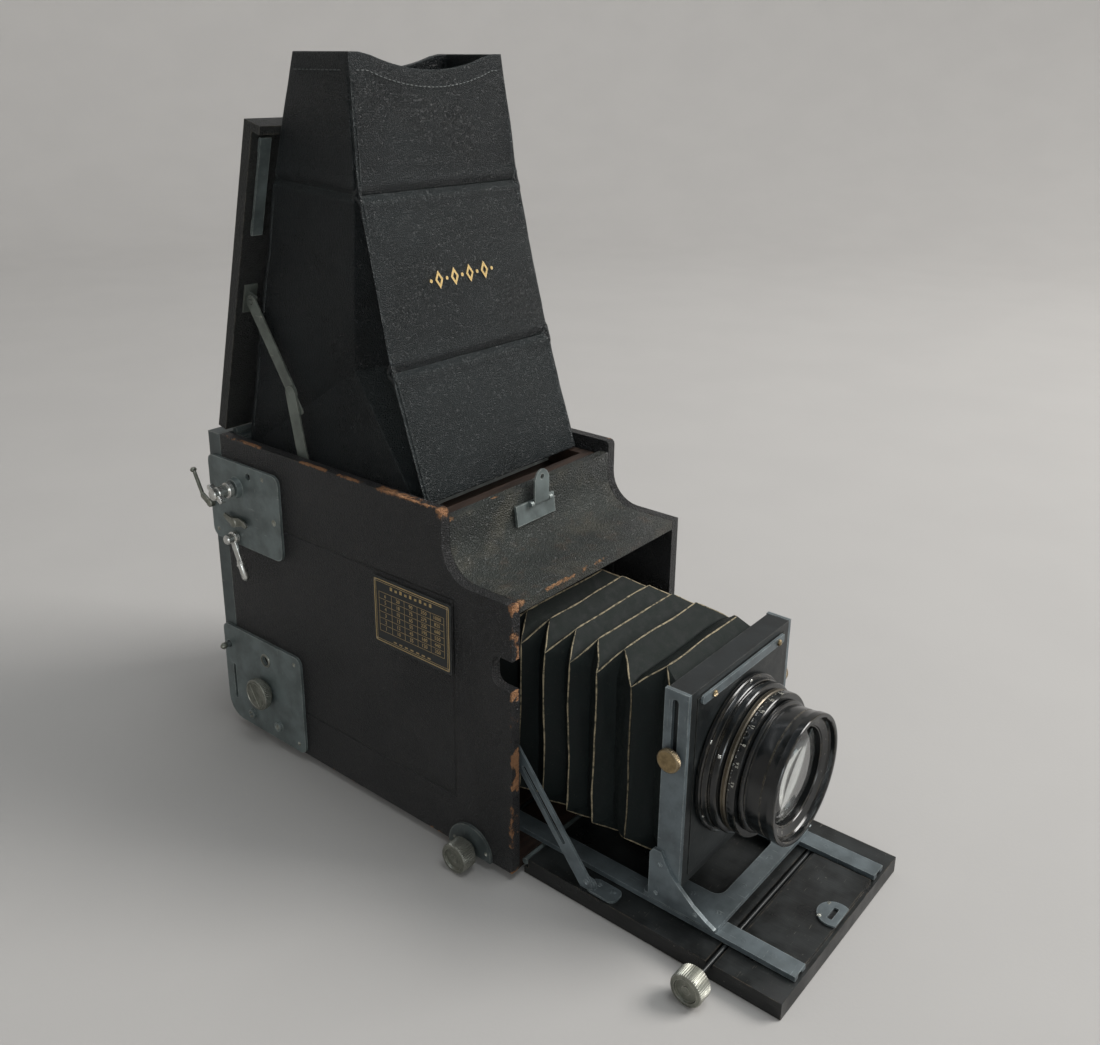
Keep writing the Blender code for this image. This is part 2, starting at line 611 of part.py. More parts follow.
for side, name in ((-1, "left"), (1, "right")):
    def sx(a, b, side=side):
        return (a, b) if side > 0 else (-b, -a)

    x0, x1 = sx(RAIL_IN, RAIL_OUT)
    rail = add(f"{name}_rail", box((x0, RAIL_FRONT, RAIL_BOTTOM), (x1, RAIL_BACK, RAIL_TOP)), PAINT)
    x0, x1 = sx(PINION_X - 2.4, PINION_X + 2.4)
    cut(rail, box((x0, RAIL_FRONT - 5, RAIL_BOTTOM - 2), (x1, RAIL_BACK + 5, 13.35)))

    x0, x1 = sx(66.0, 67.5)
    strut = add(
        f"{name}_strut",
        plate([bar(STRUT_TOP, STRUT_FOOT, 4.6), bar((2.0, 69.0), (-27.0, 33.5), 1.4, 4)], "x", x0, x1),
        PAINT,
    )
    cut(strut, box((-90, -80, 0), (90, -20, BED_TOP + GAP)))
    a, b = sx(65.0, 73.2)
    join(strut, rod((a, *STRUT_TOP), (b, *STRUT_TOP), 2.6, sides=14))
    a, b = sx(64.4, 66.4)
    join(strut, plate([rounded((STRUT_FOOT[0] - 5.5, 11.3), (STRUT_FOOT[0] + 5.5, STRUT_FOOT[1] + 4), (0, 0, 4, 4), 4)], "x", a, b))
    a, b = sx(57.4, 68.6)
    join(strut, plate([rounded((a, -63.0), (b, -43.0), (4, 4, 4, 4), 4)], "z", BED_TOP + GAP, 12.0))

    x0, x1 = sx(UPRIGHT_X - UPRIGHT_T, UPRIGHT_X)
    upright = add(
        f"{name}_upright",
        plate([[(-95.0, 17.1), (-80.5, 17.1), (-80.5, 147.5), (-95.0, 147.5)], bar((RISE_Y, 103.5), (RISE_Y, 141.0), 1.9, 4)], "x", x0, x1),
        PAINT,
    )
    gusset = [(-119.0, 17.1), (-77.0, 17.1), (-77.0, 46.0), (-79.0, 49.0), (-84.0, 49.0)]
    gusset += [(-86.5, 44.0), (-90.5, 38.0), (-97.0, 31.5), (-105.0, 24.8), (-113.5, 19.6)]
    x0, x1 = sx(UPRIGHT_X - 0.6, UPRIGHT_X + 1.8)
    join(upright, plate([gusset[::-1]], "x", x0, x1))

carriage = add(
    "carriage",
    plate([rounded((-RAIL_OUT, -119), (RAIL_OUT, -72), (2, 2, 2, 2), 2), rounded((-31, -108), (31, -80), (6, 6, 2, 2), 4)], "z", RAIL_TOP + GAP, 16.8),
    PAINT,
)

for y, name, x_face in ((BED_SHAFT_Y, "bed_focus_knob", -93.0), (BODY_SHAFT_Y, "body_focus_knob", -97.0)):
    knob = add(name, rod((-84, y, SHAFT_Z), (PINION_X + 4, y, SHAFT_Z), SHAFT_R, sides=16), NICKEL, (-88, y, SHAFT_Z), 40)
    join(
        knob,
        rod((x_face + 11, y, SHAFT_Z), (x_face, y, SHAFT_Z), KNOB_R, sides=36),
        rod((x_face + 14.0, y, SHAFT_Z), (x_face + 10, y, SHAFT_Z), 4.4, 6.5, 24),
        rod((-PINION_X - 1.9, y, SHAFT_Z), (-PINION_X + 1.9, y, SHAFT_Z), PINION_R, sides=18),
        rod((PINION_X - 1.9, y, SHAFT_Z), (PINION_X + 1.9, y, SHAFT_Z), PINION_R, sides=18),
    )
disc = arc((31.5, 7.1), 16.7, -6, 186, 24)
escutcheon = add("focus_escutcheon", plate([disc, circle((BODY_SHAFT_Y, SHAFT_Z), 2.3, 16)], "x", -82.2, -BODY_HALF - GAP), PAINT)

# ---------------------------------------------------------------- lens carrier and lens
carrier = add("lens_carrier", box((-CARRIER_HALF, CARRIER_FRONT, CARRIER_LOW), (CARRIER_HALF, CARRIER_BACK, CARRIER_TOP)), BLACK)
cut(
    carrier,
    box((-46.2, CARRIER_FRONT - 5, CARRIER_LOW + 4.6), (46.2, CARRIER_FRONT + 3.6, CARRIER_TOP - 4.4)),
    box((-38, CARRIER_FRONT - 5, LENS_Z - 42), (38, CARRIER_BACK + 5, LENS_Z + 42)),
)
board = add("lens_board", box((-45.8, CARRIER_FRONT - 0.4, CARRIER_LOW + 5.0), (45.8, CARRIER_FRONT + 3.3, CARRIER_TOP - 4.8)), BLACK)
cut(board, rod((0, -110, LENS_Z), (0, -80, LENS_Z), 30.0, sides=48))
strip = add("board_strip", plate([rounded((-44.0, 138.4), (43.0, 143.4), (2.4, 0.8, 0.8, 2.4), 3)], "y", CARRIER_FRONT - 2.2, CARRIER_FRONT - 0.7), PAINT)
for x in (-33.0, 36.0):
    join(strip, rod((x, CARRIER_FRONT - 1.6, 140.9), (x, CARRIER_FRONT - 3.0, 140.9), 1.9, 1.4, 12))

for side, name in ((-1, "left_rise_knob"), (1, "right_rise_knob")):
    knob = add(
        name,
        rod((side * (CARRIER_HALF + GAP), RISE_Y, RISE_Z), (side * 57.0, RISE_Y, RISE_Z), 1.5, sides=12),
        BRASS,
        (side * 56, RISE_Y, RISE_Z),
        40,
    )
    join(knob, rod((side * 56.0, RISE_Y, RISE_Z), (side * 59.6, RISE_Y, RISE_Z), 6.7, sides=28))

LENS_AXIS = (0, -1, 0)
LENS_O = (0, 0, LENS_Z)
barrel_profile = [  # (radius, distance in front of the body edge) down the outer side, front to rear
    (25.2, 117.0), (34.5, 117.0), (34.5, 111.7), (39.0, 111.7), (39.0, 108.0), (42.5, 107.0), (42.5, 102.5),
    (45.0, 101.5), (45.0, 96.0), (29.6, 96.0), (29.6, 84.0), (25.2, 84.0),
]
turned("lens_barrel", barrel_profile, LENS_AXIS, BLACK, LENS_O, True, 56)
turned("aperture_ring", [(35.0, 116.8), (40.6, 116.8), (40.6, 112.1), (35.0, 112.1)], LENS_AXIS, BRASS, LENS_O, True, 56)
front_profile = [
    (32.8, 137.6), (36.7, 137.6), (36.7, 133.5), (35.6, 132.0), (35.2, 121.0), (37.0, 119.5), (37.0, 117.3),
    (24.6, 117.3), (24.6, 124.0), (27.6, 124.0), (27.6, 134.0), (31.8, 134.2),
]
turned("front_barrel", front_profile, LENS_AXIS, BLACK, LENS_O, True, 56)


def dome(radius, front, back, sag, bands):
    """Profile of a lens element with a convex front, from its crown down to its back."""
    out = []
    sphere = (radius**2 + sag**2) / (2 * sag)
    for i in range(bands + 1):
        r = radius * i / bands
        out.append((r, front - (sphere - math.sqrt(sphere**2 - r**2))))
    return out + [(radius, back), (0, back)]


turned("front_glass", dome(27.2, 134.2, 124.4, 5.5, 7), LENS_AXIS, GLASS, LENS_O, False, 48)
turned("rear_glass", dome(24.8, 98.0, 85.5, 3.0, 4), LENS_AXIS, GLASS, LENS_O, False, 36)
add("iris_diaphragm", plate([circle((0, LENS_Z), 24.8, 36), circle((0, LENS_Z), 10.0, 16)], "y", -110.6, -109.8), BLACK)

# ---------------------------------------------------------------- bellows
add(
    "bellows_frame",
    plate([[(-INNER, 14.6), (INNER, 14.6), (INNER, 192.4), (-INNER, 192.4)], [(-54, 36), (54, 36), (54, 142), (-54, 142)]], "y", 78.0, 82.0),
    WOOD,
)


def bellows_ring(y, kind):
    """Eight corners of the bellows at y. A "top" ring stands out above and below, a "side" ring left and right."""
    side = 52.0 + 0.03 * (y + 20.0)
    across, high, wide, up = {
        "top": (36.0, 59.0, side - 9.0, 44.0),
        "side": (40.0, 50.5, side, 48.0),
        "end": (40.0, 52.0, side - 4.0, 45.0),
    }[kind]
    quarter = ((across, -high), (wide, -up), (wide, up), (across, high))
    points = quarter + tuple((-x, -z) for x, z in quarter)
    return [(x, y, BELLOWS_Z + z) for x, z in points]


bm = bmesh.new()
rings = [(BELLOWS_BACK, "end")]
for side_y, top_y in BELLOWS_FOLDS:
    rings += [(side_y, "side"), (top_y, "top")]
rings.append((BELLOWS_FRONT, "end"))
made = [[bm.verts.new(spot) for spot in bellows_ring(y, kind)] for y, kind in rings]
for (a_ring, (_, a_kind)), (b_ring, _) in zip(zip(made, rings), zip(made[1:], rings[1:])):
    for k in range(8):
        a0, a1, b0, b1 = a_ring[k], a_ring[(k + 1) % 8], b_ring[k], b_ring[(k + 1) % 8]
        if k % 2:
            bm.faces.new((a0, a1, b1, b0))
            continue
        outer_first = k % 4 == 0
        if outer_first == (a_kind == "top"):
            bm.faces.new((a0, a1, b1))
            bm.faces.new((a0, b1, b0))
        else:
            bm.faces.new((a0, a1, b0))
            bm.faces.new((a1, b1, b0))
bmesh.ops.recalc_face_normals(bm, faces=bm.faces)
bellows = add("bellows", bm, CLOTH, (0, BELLOWS_BACK, BELLOWS_Z))
shell = bellows.modifiers.new("cloth", "SOLIDIFY")
shell.thickness = 0.0012
shell.offset = -1
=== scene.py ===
"""Studio picture of a leather-covered single-lens-reflex press camera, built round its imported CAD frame.

Lengths in the builders below are millimetres in the camera's own working frame: y = 0 is the front edge of
the body, x = 0 its middle and z = 0 the floor. to_row() turns them into the row frame in metres.
"""

import math

import bmesh
import bpy
from mathutils import Matrix, Vector, noise


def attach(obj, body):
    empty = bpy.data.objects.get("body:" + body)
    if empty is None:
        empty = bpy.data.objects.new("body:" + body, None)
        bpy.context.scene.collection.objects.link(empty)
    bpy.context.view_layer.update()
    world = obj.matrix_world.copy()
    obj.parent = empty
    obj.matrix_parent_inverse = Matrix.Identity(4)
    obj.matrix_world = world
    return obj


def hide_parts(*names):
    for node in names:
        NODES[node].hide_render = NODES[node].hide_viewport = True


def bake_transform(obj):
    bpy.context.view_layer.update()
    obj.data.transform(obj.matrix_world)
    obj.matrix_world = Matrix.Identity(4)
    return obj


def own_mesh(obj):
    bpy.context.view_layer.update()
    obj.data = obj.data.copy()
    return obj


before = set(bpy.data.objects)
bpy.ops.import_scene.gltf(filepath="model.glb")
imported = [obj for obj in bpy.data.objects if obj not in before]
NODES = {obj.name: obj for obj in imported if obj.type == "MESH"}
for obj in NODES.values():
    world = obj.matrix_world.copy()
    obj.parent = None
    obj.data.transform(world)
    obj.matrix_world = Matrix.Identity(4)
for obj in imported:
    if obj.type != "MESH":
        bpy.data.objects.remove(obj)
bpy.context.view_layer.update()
SHIFT = Vector((6.5, -56.25, 0.0))
scene = bpy.context.scene
scene.view_settings.view_transform = "Standard"
scene.view_settings.look = "None"


def to_row(p):
    return (Vector(p) + SHIFT) / 1000


# ================================================================ camera
def make_camera():
    az, el, roll = math.radians(-51.033), math.radians(18.751), math.radians(0.617)
    d = Vector((-math.sin(az) * math.cos(el), math.cos(az) * math.cos(el), -math.sin(el)))
    r = d.cross(Vector((0, 0, 1))).normalized()
    u = r.cross(d)
    r2 = r * math.cos(roll) + u * math.sin(roll)
    u2 = -r * math.sin(roll) + u * math.cos(roll)
    data = bpy.data.cameras.new("camera")
    data.sensor_width = 36
    data.sensor_fit = "HORIZONTAL"
    data.lens = 36 * 1107.2 / 1100
    data.shift_x = 0
    data.shift_y = -0.075
    data.clip_start = 0.01
    data.clip_end = 60
    cam = bpy.data.objects.new("camera", data)
    m = Matrix((r2, u2, -d)).transposed().to_4x4()
    m.translation = Vector((-0.4680, -0.39985, 0.4466))
    cam.matrix_world = m
    scene.collection.objects.link(cam)
    scene.camera = cam


make_camera()


# ================================================================ material builder
class Mat:
    """One procedural material. Its coordinates are the working frame in millimetres."""

    def __init__(self, name, coords=True):
        self.mat = bpy.data.materials.new(name)
        self.mat.use_nodes = True
        self.t = self.mat.node_tree
        self.t.nodes.clear()
        out = self.t.nodes.new("ShaderNodeOutputMaterial")
        self.p = self.t.nodes.new("ShaderNodeBsdfPrincipled")
        self.t.links.new(self.p.outputs[0], out.inputs[0])
        co = self.t.nodes.new("ShaderNodeTexCoord").outputs["Object"]
        self.co = self.vec("MULTIPLY_ADD", co, (1000, 1000, 1000), tuple(-SHIFT))
        self._xyz = None

    def put(self, socket, value):
        if isinstance(value, bpy.types.NodeSocket):
            self.t.links.new(value, socket)
        elif value is not None:
            if socket.type == "RGBA" and len(value) == 3:
                value = (*value, 1)
            socket.default_value = value

    def make(self, kind, inputs=(), **props):
        node = self.t.nodes.new(kind)
        for key, value in props.items():
            setattr(node, key, value)
        for key, value in dict(inputs).items():
            self.put(node.inputs[key], value)
        return node

    def vec(self, op, *args):
        node = self.t.nodes.new("ShaderNodeVectorMath")
        node.operation = op
        for socket, value in zip(node.inputs, args):
            self.put(socket, value)
        return node.outputs["Value" if op in ("DOT_PRODUCT", "LENGTH", "DISTANCE") else "Vector"]

    def m(self, op, *args, clamp=False):
        node = self.t.nodes.new("ShaderNodeMath")
        node.operation = op
        node.use_clamp = clamp
        for socket, value in zip(node.inputs, args):
            self.put(socket, value)
        return node.outputs[0]

    def xyz(self):
        if self._xyz is None:
            self._xyz = self.make("ShaderNodeSeparateXYZ", {0: self.co}).outputs
        return self._xyz

    def noise(self, size, detail=3, rough=0.5, distort=0.0, co=None):
        return self.make("ShaderNodeTexNoise", {"Vector": co or self.co, "Scale": 1 / size, "Detail": detail, "Roughness": rough, "Distortion": distort}).outputs["Fac"]

    def cells(self, size, feature="F1", co=None, random=1.0):
        return self.make("ShaderNodeTexVoronoi", {"Vector": co or self.co, "Scale": 1 / size, "Randomness": random}, feature=feature).outputs["Distance"]

    def span(self, x, lo, hi, a=0.0, b=1.0):
        """x from lo to hi becomes a to b, smoothly and clamped."""
        return self.make("ShaderNodeMapRange", {"Value": x, "From Min": lo, "From Max": hi, "To Min": a, "To Max": b}, interpolation_type="SMOOTHSTEP").outputs[0]

    def near(self, x, at, width):
        """1 where x is at, falling to 0 at width away."""
        return self.span(self.m("ABSOLUTE", self.m("SUBTRACT", x, at)), 0.0, width, 1.0, 0.0)

    def mix(self, fac, a, b):
        node = self.t.nodes.new("ShaderNodeMix")
        node.data_type = "RGBA"
        self.put(node.inputs[0], fac)
        self.put(node.inputs[6], a)
        self.put(node.inputs[7], b)
        return node.outputs[2]

    def stretch(self, sx, sy, sz):
        return self.vec("MULTIPLY", self.co, (sx, sy, sz))

    def edge(self, radius, lo=0.004, hi=0.05):
        """1 near sharp edges within radius mm."""
        soft = self.make("ShaderNodeBevel", {"Radius": radius / 1000}, samples=4).outputs[0]
        hard = self.t.nodes.new("ShaderNodeNewGeometry").outputs["Normal"]
        return self.span(self.m("SUBTRACT", 1.0, self.vec("DOT_PRODUCT", soft, hard)), lo, hi)

    def up(self, lo=0.3, hi=0.95):
        normal = self.t.nodes.new("ShaderNodeNewGeometry").outputs["Normal"]
        return self.span(self.make("ShaderNodeSeparateXYZ", {0: normal}).outputs[2], lo, hi)

    def bump(self, height, mm, strength=1.0, normal=None):
        return self.make("ShaderNodeBump", {"Height": height, "Distance": mm / 1000, "Strength": strength, "Normal": normal}).outputs[0]

    def set(self, **inputs):
        names = {"colour": "Base Color", "rough": "Roughness", "metal": "Metallic", "normal": "Normal", "spec": "Specular IOR Level", "coat": "Coat Weight", "coat_rough": "Coat Roughness", "sheen": "Sheen Weight", "sheen_rough": "Sheen Roughness", "ior": "IOR", "trans": "Transmission Weight", "alpha": "Alpha"}
        for key, value in inputs.items():
            self.put(self.p.inputs[names[key]], value)
        return self.mat


def leather(name, base, dark, size, depth, rough, wear=None, spec=0.45, grain=0.5, swell=0.5):
    """Pebbled leather: cells for the grain, broader creasing, and colour that varies across it."""
    k = Mat(name)
    pebble = k.cells(size, "DISTANCE_TO_EDGE", co=k.vec("ADD", k.co, k.vec("MULTIPLY", k.make("ShaderNodeTexNoise", {"Vector": k.co, "Scale": 1 / (size * 2), "Detail": 2}).outputs["Color"], (size * 0.8,) * 3)))
    pebble = k.span(pebble, 0.0, 0.35)
    fine = k.noise(size * 0.45, 3, 0.6)
    broad = k.noise(size * 14, 4, 0.55)
    patch = k.noise(55, 3, 0.6)
    height = k.m("ADD", k.m("MULTIPLY", pebble, 1.0), k.m("MULTIPLY_ADD", fine, 0.5, k.m("MULTIPLY", broad, swell)))
    colour = k.mix(k.span(patch, 0.35, 0.68), dark, base)
    colour = k.mix(k.m("MULTIPLY", pebble, grain), k.mix(0.55, colour, (0, 0, 0)), colour)
    rough_field = k.m("ADD", k.span(patch, 0.3, 0.7, rough - 0.07, rough + 0.08), k.m("MULTIPLY", pebble, -0.06))
    if wear:
        colour, rough_field, height = wear(k, colour, rough_field, height)
    return k.set(colour=colour, rough=rough_field, normal=k.bump(height, depth), spec=spec)


def body_wear(k, colour, rough, height):
    """Scuffed-through edges where the tan hide shows, chalky rubs and the embossed border of the side panels."""
    x, y, z = k.xyz()
    rag = k.noise(2.2, 4, 0.65)
    patchy = k.noise(17, 3, 0.6)
    at = lambda *masks: _all(k, masks)
    left = k.span(x, -77.6, -79.0)
    rim = at(k.span(x, -76.2, -78.0), k.near(z, 217.5, 3.4), k.span(patchy, 0.34, 0.54))
    rim_hot = at(k.near(z, 218, 5.5), k.near(y, 92, 60), k.span(x, -71, -76), k.span(patchy, 0.30, 0.48))
    corner = at(k.near(y, 52, 8), k.near(z, 216, 10), k.span(x, -70, -76))
    front = at(k.near(y, 0, 3.4), k.span(patchy, 0.38, 0.56), k.span(x, -73.0, -75.0))
    nose = at(k.near(y, 0, 7), k.near(z, 175, 7), k.span(x, -68, -76))
    low = at(k.near(y, 0, 6), k.near(z, 30, 22), k.span(x, -76, -79), k.span(patchy, 0.3, 0.5))
    floor_rim = at(k.near(z, 5, 2.2), k.span(patchy, 0.5, 0.65))
    right = at(k.near(z, 217.5, 2.0), k.span(x, 77.0, 79.0), k.span(patchy, 0.5, 0.66))
    total = _most(k, (rim, rim_hot, corner, front, nose, low, floor_rim, right))
    bare = k.span(k.m("ADD", total, k.m("MULTIPLY", k.m("SUBTRACT", rag, 0.5), 1.5)), 0.62, 0.86)
    halo = k.span(k.m("ADD", total, k.m("MULTIPLY", k.m("SUBTRACT", rag, 0.5), 1.2)), 0.35, 0.75)
    hide = k.mix(k.noise(3.5, 3), (0.22, 0.085, 0.035), (0.58, 0.30, 0.135))
    colour = k.mix(k.m("MULTIPLY", halo, 0.55), colour, (0.075, 0.040, 0.026))
    colour = k.mix(bare, colour, hide)
    rub = k.m("MULTIPLY", k.span(k.noise(9, 5, 0.7), 0.60, 0.78), k.span(k.noise(70, 2), 0.45, 0.6))
    colour = k.mix(k.m("MULTIPLY", rub, 0.35), colour, (0.09, 0.065, 0.05))
    line = _most(k, (
        at(k.near(z, 165.5, 1.1), k.span(y, 43, 44), k.span(x, -70, -74)),
        at(k.near(z, 38, 1.1), k.span(y, 43, 44), k.span(x, -70, -74)),
        at(k.near(y, 43.5, 1.1), k.span(z, 37, 38), k.span(z, 166.5, 165.5), k.span(x, -70, -74)),
        at(k.near(z, 165.5, 1.1), k.span(y, 43, 44), k.span(x, 70, 74)),
        at(k.near(z, 38, 1.1), k.span(y, 43, 44), k.span(x, 70, 74)),
        at(k.near(y, 43.5, 1.1), k.span(z, 37, 38), k.span(z, 166.5, 165.5), k.span(x, 70, 74)),
    ))
    colour = k.mix(k.m("MULTIPLY", line, 0.5), colour, (0.006, 0.005, 0.005))
    height = k.m("SUBTRACT", k.m("SUBTRACT", height, k.m("MULTIPLY", bare, 1.3)), k.m("MULTIPLY", line, 2.2))
    rough = k.m("ADD", rough, k.m("MULTIPLY", bare, 0.25))
    return colour, rough, height


def roof_wear(k, colour, rough, height):
    """The roof is greyer where hands and the lid have polished it, and its front edge has worn through."""
    x, y, z = k.xyz()
    rag = k.noise(2.0, 4, 0.65)
    patchy = k.noise(13, 3, 0.6)
    at = lambda *masks: _all(k, masks)
    edge = at(k.near(y, 0, 3.2), k.near(z, 175.5, 4), k.span(patchy, 0.38, 0.56), k.span(x, 40, -20))
    nose = at(k.near(y, 0, 10), k.near(z, 176, 9), k.near(x, -73, 10))
    corner = at(k.near(y, 52, 8), k.near(z, 212, 9), k.span(x, -66, -72))
    lip = at(k.near(z, 210, 3.0), k.near(y, 53, 4), k.span(patchy, 0.52, 0.68))
    total = _most(k, (edge, nose, corner, lip))
    bare = k.span(k.m("ADD", total, k.m("MULTIPLY", k.m("SUBTRACT", rag, 0.5), 1.5)), 0.62, 0.86)
    hide = k.mix(k.noise(3.5, 3), (0.20, 0.085, 0.035), (0.50, 0.28, 0.13))
    rub = k.m("MULTIPLY", k.span(k.noise(24, 4, 0.6), 0.45, 0.70), 0.55)
    colour = k.mix(rub, colour, (0.095, 0.088, 0.066))
    low = k.span(z, 184, 176.5)
    brown = k.m("MULTIPLY", at(low, k.span(k.noise(11, 4, 0.65), 0.50, 0.72)), 0.55)
    colour = k.mix(brown, colour, (0.075, 0.045, 0.026))
    colour = k.mix(bare, colour, hide)
    height = k.m("SUBTRACT", height, k.m("MULTIPLY", bare, 1.2))
    return colour, k.m("ADD", rough, k.m("MULTIPLY", bare, 0.25)), height


def _all(k, masks):
    out = masks[0]
    for mask in masks[1:]:
        out = k.m("MULTIPLY", out, mask)
    return out


def _most(k, masks):
    out = masks[0]
    for mask in masks[1:]:
        out = k.m("MAXIMUM", out, mask)
    return out


def enamel(name, base, bright, rough, metal=0.35, edge_r=1.0, edge_amount=0.75, spots=0.5, spec=0.5, dust_and_top_light=0.0):
    """Stove enamel over metal: bright worn edges, small chips, hairline scratches and a little mottling."""
    k = Mat(name)
    mottled = k.noise(16, 4, 0.6)
    chips = k.m("MULTIPLY", k.span(k.noise(1.5, 3, 0.7), 0.66, 0.74), k.span(k.noise(14, 2), 0.45, 0.62))
    scratch = k.m("MULTIPLY", k.span(k.noise(0.9, 2, 0.5, co=k.stretch(1, 0.06, 0.35)), 0.68, 0.74), k.span(k.noise(20, 2), 0.42, 0.6))
    scratch2 = k.m("MULTIPLY", k.span(k.noise(0.8, 2, 0.5, co=k.stretch(0.1, 1, 0.08)), 0.69, 0.75), k.span(k.noise(24, 2), 0.45, 0.62))
    edge = k.m("MULTIPLY", k.edge(edge_r), k.span(k.noise(5, 4, 0.7), 0.32, 0.62))
    shown = k.m("MULTIPLY", k.m("MAXIMUM", k.m("MAXIMUM", chips, k.m("MAXIMUM", scratch, scratch2)), 0.0), spots)
    colour = k.mix(k.span(mottled, 0.3, 0.7), k.mix(0.45, base, (0, 0, 0)), base)
    # dusting and painted top light: faces that point up turn paler grey
    if dust_and_top_light:
        colour = k.mix(k.m("MULTIPLY", k.up(0.4, 0.95), dust_and_top_light), colour, (0.17, 0.19, 0.185))
    colour = k.mix(shown, colour, bright)
    colour = k.mix(k.m("MULTIPLY", edge, edge_amount), colour, bright)
    field = k.m("ADD", k.span(mottled, 0.3, 0.7, rough - 0.06, rough + 0.10), k.m("MULTIPLY", edge, -0.08))
    height = k.m("ADD", k.noise(0.5, 3, 0.6), k.m("SUBTRACT", k.m("MULTIPLY", k.noise(6, 3), 1.5), k.m("MULTIPLY", shown, 1.2)))
    return k.set(colour=colour, rough=field, metal=metal, normal=k.bump(height, 0.05, 0.7), spec=spec)


def metal_finish(name, base, dull, rough, brush=(1, 1, 1), tarnish=0.6):
    """Plated or solid metal gone dull: tarnish in patches, dark specks, brighter on edges."""
    k = Mat(name)
    patch = k.noise(7, 5, 0.65)
    speck = k.span(k.noise(1.1, 3, 0.7), 0.60, 0.72)
    grain = k.noise(0.35, 2, 0.5, co=k.stretch(*brush))
    edge = k.edge(0.7, 0.01, 0.09)
    colour = k.mix(k.m("MULTIPLY", k.span(patch, 0.36, 0.64), tarnish), base, dull)
    colour = k.mix(k.m("MULTIPLY", speck, 0.5), colour, k.mix(0.5, dull, (0.01, 0.01, 0.01)))
    colour = k.mix(k.m("MULTIPLY", edge, 0.55), colour, k.mix(0.45, base, (1, 0.97, 0.9)))
    return k.set(colour=colour, rough=k.span(patch, 0.3, 0.7, rough - 0.08, rough + 0.14), metal=0.92, normal=k.bump(k.m("ADD", grain, patch), 0.04, 0.6))


BODY = leather("body_leather_worn", (0.0480, 0.0475, 0.0480), (0.0260, 0.0262, 0.0270), 1.35, 1.15, 0.42, body_wear, 0.55, 0.6, 0.4)
ROOF = leather("roof_leather_worn", (0.068, 0.078, 0.068), (0.044, 0.050, 0.046), 1.4, 0.85, 0.38, roof_wear, 0.55, 0.6, 0.4)
def hood_wear_and_painted_light(k, colour, rough, height):
    """Polished, slightly paler leather along the folds and corners, partly wear and partly a painted highlight line,
    and paler where it faces up, partly a dusting and partly painted top light.
    """
    rub = k.m("MULTIPLY", k.edge(1.5, 0.006, 0.10), k.span(k.noise(9, 4, 0.65), 0.30, 0.60))
    # painted top light: faces that point up are paler, partly a dusting and partly light painted into the colour
    colour = k.mix(k.m("MULTIPLY", k.up(0.02, 0.5), 0.4), colour, (0.026, 0.034, 0.034))
    # painted highlight: the pale line along folds and corners is partly wear and partly a painted highlight
    colour = k.mix(k.m("MULTIPLY", rub, 0.6), colour, (0.105, 0.118, 0.118))
    fleck = k.m("MULTIPLY", k.span(k.noise(0.8, 2, 0.6), 0.66, 0.74), 0.16)
    return k.mix(fleck, colour, (0.10, 0.11, 0.11)), k.m("SUBTRACT", rough, k.m("MULTIPLY", rub, 0.08)), height


HOOD_MAT = leather("hood_leather_fine", (0.0078, 0.0135, 0.0160), (0.0050, 0.0086, 0.0102), 1.15, 0.60, 0.36, hood_wear_and_painted_light, 0.42, 0.6, 0.15)
def lid_wear(k, colour, rough, height):
    """Rubbed edges of the lid."""
    rub = k.m("MULTIPLY", k.edge(1.6, 0.003, 0.06), k.span(k.noise(6, 4, 0.7), 0.36, 0.62))
    return k.mix(k.m("MULTIPLY", rub, 0.8), colour, (0.105, 0.095, 0.075)), rough, height


LIDMAT = leather("lid_leather", (0.034, 0.037, 0.034), (0.019, 0.0205, 0.020), 1.3, 0.5, 0.46, lid_wear, 0.45)


def bellows_cloth(name):
    k = Mat(name)
    weave = k.m("MULTIPLY", k.m("SINE", k.m("MULTIPLY", k.xyz()[0], 9.0)), k.m("SINE", k.m("MULTIPLY", k.m("ADD", k.xyz()[1], k.xyz()[2]), 9.0)))
    worn = k.noise(6, 4, 0.65)
    # painted top light: the upward faces of the pleats get a paler colour, partly a dusting and partly light painted
    # into the colour
    top = k.up(0.05, 0.75)
    colour = k.mix(k.span(worn, 0.3, 0.7), (0.0035, 0.0062, 0.0062), (0.0080, 0.0122, 0.0118))
    top_dust_and_light = k.mix(k.span(worn, 0.3, 0.7), (0.0060, 0.0090, 0.0080), (0.0130, 0.0175, 0.0150))
    colour = k.mix(k.m("MULTIPLY", top, 0.9), colour, top_dust_and_light)
    fleck = k.m("MULTIPLY", k.span(k.noise(0.9, 3, 0.7), 0.64, 0.74), 0.4)
    colour = k.mix(fleck, colour, (0.11, 0.10, 0.075))
    height = k.m("ADD", k.m("MULTIPLY", weave, 0.3), k.m("ADD", k.noise(0.6, 3, 0.6), k.m("MULTIPLY", k.noise(7, 4, 0.6), 3.0)))
    return k.set(colour=colour, rough=k.span(worn, 0.3, 0.7, 0.55, 0.78), normal=k.bump(height, 0.12, 0.8), spec=0.22)


def ridge_wear(name):
    k = Mat(name)
    gone = k.span(k.noise(3.2, 4, 0.7), 0.34, 0.58)
    colour = k.mix(gone, (0.060, 0.056, 0.040), (0.33, 0.275, 0.18))
    return k.set(colour=colour, rough=0.8, normal=k.bump(k.noise(0.8, 3), 0.15), spec=0.3)


